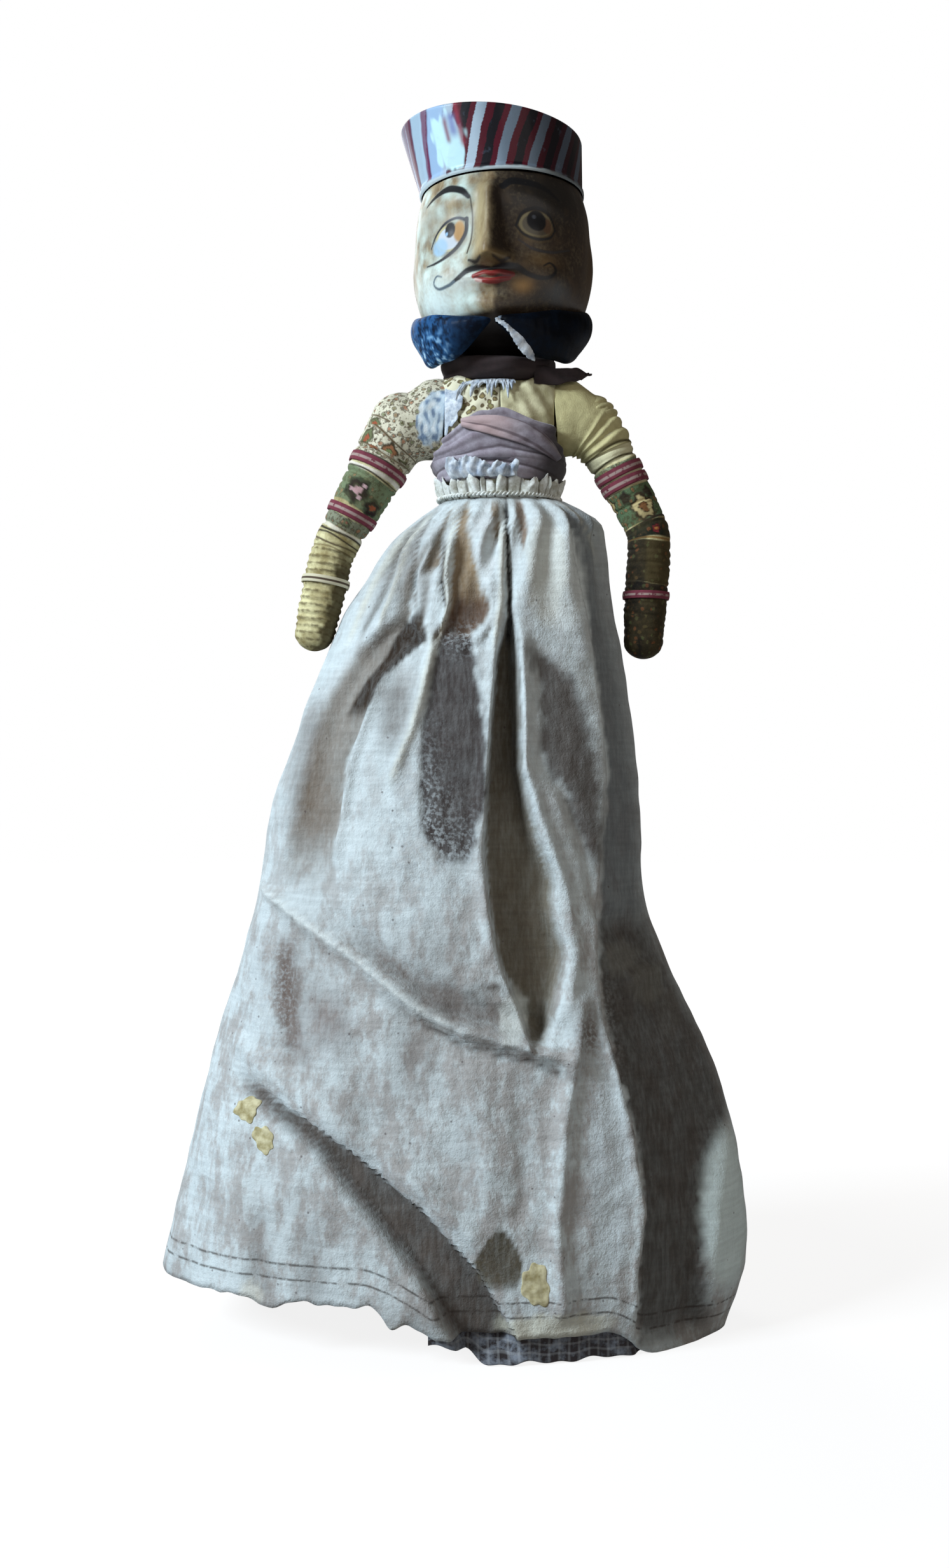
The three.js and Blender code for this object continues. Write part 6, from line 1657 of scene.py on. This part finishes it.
# the attribute brings each lobe's painted highlights, painted shade and flecks
gloss_light_and_shade = add_node(gloss_black, "Attribute", attribute_name="paint")
mask, wear_and_light = gloss_light_and_shade.outputs["Alpha"], gloss_light_and_shade.outputs["Color"]
tone = add_node(gloss_black, "Mix", {0: mask, 6: base, 7: wear_and_light})
gloss_bump = add_node(gloss_black, "Bump", {"Height": gloss_bloom, "Strength": 0.3, "Distance": 0.0008})
fill(gloss_black, shader, {"Base Color": tone, "Normal": gloss_bump, "Roughness": 0.55,
                           "Specular IOR Level": 0.04, "Coat Weight": 0.015, "Coat Roughness": 0.12})

for node_name, side in (("beard_left", 1), ("beard_right", -1)):
    lobe_bm = shaped_grid(56, 190, beard_lobe(side))
    t, height, out = kept["t"], kept["height"], kept["out"]
    places = np.array([vertex.co for vertex in lobe_bm.verts]) * 1000
    speckle = roughness_at(places, 2.2, 81) + 0.6 * roughness_at(places, 0.9, 82)
    colours = np.zeros((len(t), 4))
    if side > 0:
        # the lobe on the puppet's left painted near black as shade, with pale flecks along its parting
        laid_over(colours, "#03050a", np.full(len(t), 0.94))
        flecks_and_glints = smooth(speckle, 0.2, 0.7) * (1 - smooth(t, 0.03, 0.08)) * (out > 0.2)
        laid_over(colours, "#7f8d9c", flecks_and_glints * 0.8)
    else:
        # the lobe on the puppet's right painted bluer, with painted highlights in pale blue and pale cyan low
        # down
        laid_over(colours, "#0b1526", np.full(len(t), 0.6))
        laid_over(colours, "#2c5a8c", 0.9 * smooth(t, 0.16, 0.4) * smooth(speckle, -0.6, 0.2))
        lobe_glare = 0.9 * smooth(speckle, 0.0, 0.5) * smooth(t, 0.24, 0.42)
        laid_over(colours, "#7fb4dc", lobe_glare * smooth(-height, -437, -428))
        flecks_and_glints = smooth(speckle, 0.25, 0.8) * smooth(t, 0.26, 0.42)
        laid_over(colours, "#cbe6f2", flecks_and_glints * smooth(-height, -432, -425))
    paint(lobe_bm, "paint", colours)
    lobe = finished(f"{node_name}_lobe", lobe_bm, gloss_black, closed=True)
    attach(lobe, "head")
    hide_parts(node_name)


# Beard strip
# A frayed strip of pale blue cotton, glued along the inner edge of the beard's left lobe. It
# turns with the head.
def to_beard_strip(u, v):
    side = 2 * v - 1
    place = np.stack([u * 24, side * 1.5, 0 * u], axis=1)
    frayed = 0.7 * roughness_at(place * (1, 2.5, 0), 0.9, 84) * np.abs(side)
    swelling = 0.9 + 2.3 * smooth(u, 0.2, 0.75) + 0.25 * np.sin(u * 9)
    half_width = swelling * np.sin(math.pi * np.clip(u * 0.9 + 0.1, 0, 1)) ** 0.5 + frayed
    x = -2.2 + 17.0 * u + side * 0.65 * half_width
    z = 435.0 - 16.0 * u + 1.5 * np.sin(u * math.pi) + side * 0.75 * half_width
    y = -38.2 + 8.0 * u * u + 0.5 * roughness_at(place, 3.0, 83) + 0.5 * side**2
    return np.stack([x, y, z], axis=1)


beard_strip = finished("beard_strip", shaped_grid(110, 10, to_beard_strip), blue, thickness=0.0004)
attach(beard_strip, "head")


# Hat
# A flared drum turned from wood and glued to the head, painted in upright stripes of maroon,
# black and pale blue with a white band at its foot, under gloss varnish.
HAT_FOOT = 499.0
HAT_HEIGHT = 27.0
HAT_FOOT_RADIUS, HAT_TOP_RADIUS = 35.9, 40.6
HAT_RIM, HAT_RIM_PROUD = 2.2, 0.7
HAT_LEAN = 5.0
HAT_TILT = math.radians(4.5)
STRIPE_GROUPS = 17
STRIPE_TWIST = 0.32
# The white band at the foot ends at this share of the height
BAND_TOP = HAT_RIM / HAT_HEIGHT * 0.5


def to_hat(u, v):
    turn = (u - 0.5) * 2 * math.pi
    # v runs up the side to 0.7, and from there across the top to its middle
    share = np.clip(v / 0.7, 0, 1)
    radius = HAT_FOOT_RADIUS + (HAT_TOP_RADIUS - HAT_FOOT_RADIUS) * share
    rim = HAT_RIM / HAT_HEIGHT
    rim_ends = 1 - smooth(share, rim - 0.02, rim + 0.03)
    radius = radius + HAT_RIM_PROUD * rim_ends * smooth(share, -0.01, 0.02)
    radius = radius - 1.4 * smooth(share, 0.95, 1.0) ** 2
    inwards = np.clip((v - 0.7) / 0.3, 0, 1)
    radius = radius * (1 - inwards)
    height = HAT_HEIGHT * (share + 0.012 * np.sin(inwards * math.pi) * (1 - inwards))
    x, y = radius * np.sin(turn), -radius * np.cos(turn)
    wobble = 0.25 * np.sin(turn * 3 + 1) + 0.15 * np.sin(turn * 7)
    up = HAT_FOOT + height - height / HAT_HEIGHT * x * math.tan(HAT_TILT)
    kept["turn"], kept["share"], kept["inwards"] = turn, share, inwards
    x, y = x * (1 + wobble / 80), y * (1 + wobble / 80)
    return np.stack([x + HEAD_OFFSET - share * HAT_LEAN, y, up], axis=1)


hat_bm = shaped_grid(720, 84, to_hat)
turn, share, inwards = kept["turn"], kept["share"], kept["inwards"]
places = np.stack([np.sin(turn) * 30, -np.cos(turn) * 30, share * 14], axis=1)
wander = roughness_at(places, 7, 71) * 0.012 + roughness_at(places, 2.2, 72) * 0.006
# in each group: pale, maroon, black, maroon
phase = np.mod((turn + wander - STRIPE_TWIST * share) / (2 * math.pi) * STRIPE_GROUPS + 0.30, 1.0)
PALE_SHARE = 0.31
BLACK_FROM, BLACK_TO = 0.54, 0.82
seam = 0.05 * roughness_at(places, 4, 74)
bands = [(0.00, PALE_SHARE, "#a9bccb"), (PALE_SHARE, BLACK_FROM, "#480f1d"),
         (BLACK_FROM, BLACK_TO, "#0d0d14"), (BLACK_TO, 1.00, "#4d1020")]
colours = np.ones((len(turn), 4))
for low, high, code in bands:
    low, high = low + seam * (low > PALE_SHARE), high + seam * (PALE_SHARE < high < 1)
    inside = ((phase >= low) & (phase < high))[:, None]
    colours[:, :3] = np.where(inside, np.array(linear(code)[:3]), colours[:, :3])
pale = phase < PALE_SHARE
# painted shade: the stripes darker towards the puppet's left
laid_over(colours, "#3d4c5e", 0.75 * smooth(turn, -0.3, 0.1) * pale)
laid_over(colours, "#2b3040", 0.6 * smooth(turn, 0.3, 0.8) * pale)
laid_over(colours, "#120f16", 0.72 * smooth(turn, 0.2, 0.8) * ~pale)
laid_over(colours, "#6c74a8", 0.30 * (1 - smooth(turn, -1.2, -0.5)) * smooth(turn, -2.2, -1.6))
# a painted highlight on the puppet's right: pale bands, with a single red line in them
glare_turn = turn - 0.27 * share + 3 * wander
GLARE_BANDS = [("#5a1c30", 0.8, -1.56, -1.5, -1.40, -1.36), ("#a9c4d6", 0.9, -1.38, -1.34, -1.17, -1.14),
          ("#6d3050", 0.8, -1.16, -1.13, -1.07, -1.03), ("#9fbfe0", 0.9, -1.06, -1.02, -0.84, -0.76)]
for code, strength, begins, full, fades, ends in GLARE_BANDS:
    laid_over(colours, code, strength * between(glare_turn, begins, full, fades, ends))
# a broad painted highlight at the front, pale, with flecks of stripe showing through it
front_glare = bump(turn, -0.60, 0.25) * bump(share, 0.42, 0.52) + 0.30 * roughness_at(places, 4.5, 73)
front_glare = front_glare + 0.22 * roughness_at(places * (1, 1, 0.5), 1.5, 75)
laid_over(colours, "#c6ecf4", 0.9 * smooth(front_glare, 0.42, 0.60))
wide_end, thin_end = 1 - smooth(share, 0.78, 0.9), 1 - smooth(share, 0.72, 0.85)
laid_over(colours, "#6f78ae", 0.85 * bump(turn, -0.50, 0.06) * smooth(share, 0.45, 0.6) * wide_end)
laid_over(colours, "#7a2a44", 0.8 * bump(turn, -0.585, 0.03) * smooth(share, 0.4, 0.5) * thin_end)
laid_over(colours, "#8a2a3e", 0.8 * bump(turn, -0.415, 0.03) * smooth(share, 0.3, 0.45))
on_top = smooth(inwards, 0.04, 0.07)[:, None]
top_tone = np.array(linear("#2a1620")[:3])
colours[:, :3] = colours[:, :3] * (1 - on_top) + top_tone * on_top
# the white band at the foot, painted darker towards the puppet's left as shade
on_rim = (1 - smooth(share + wander * 2, BAND_TOP - 0.01, BAND_TOP + 0.015))[:, None]
shaded_rim_tone = np.array(linear("#c2d2d8")[:3]) * (1 - 0.75 * smooth(turn, 0.25, 0.75))[:, None]
colours[:, :3] = colours[:, :3] * (1 - on_rim) + shaded_rim_tone * on_rim
paint(hat_bm, "paint", colours)

# Gloss paint with varnish over it, scuffed pale in spots a few millimetres wide
stripes, shader, at = new_material("striped_gloss_paint")
stripes_paint = add_node(stripes, "Attribute", attribute_name="paint")
SCUFF_SIZE = 0.006
wear = add_node(stripes, "TexNoise",
                {"Vector": at["Object"], "Scale": 1 / SCUFF_SIZE, "Detail": 6.0, "Roughness": 0.6})
stripes_worn = add_node(stripes, "MapRange", {0: wear, 1: 0.60, 2: 0.82, 4: 0.3})
tone = add_node(stripes, "Mix", {0: stripes_worn, 6: stripes_paint.outputs["Color"], 7: "#8fa3c0"})
stripes_bump = add_node(stripes, "Bump", {"Height": wear, "Strength": 0.3, "Distance": 0.0008})
fill(stripes, shader, {"Base Color": tone, "Normal": stripes_bump, "Roughness": 0.5,
                       "Specular IOR Level": 0.15, "Coat Weight": 0.12, "Coat Roughness": 0.16})
hat = finished("striped_hat", hat_bm, stripes)
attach(hat, "head")
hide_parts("hat")
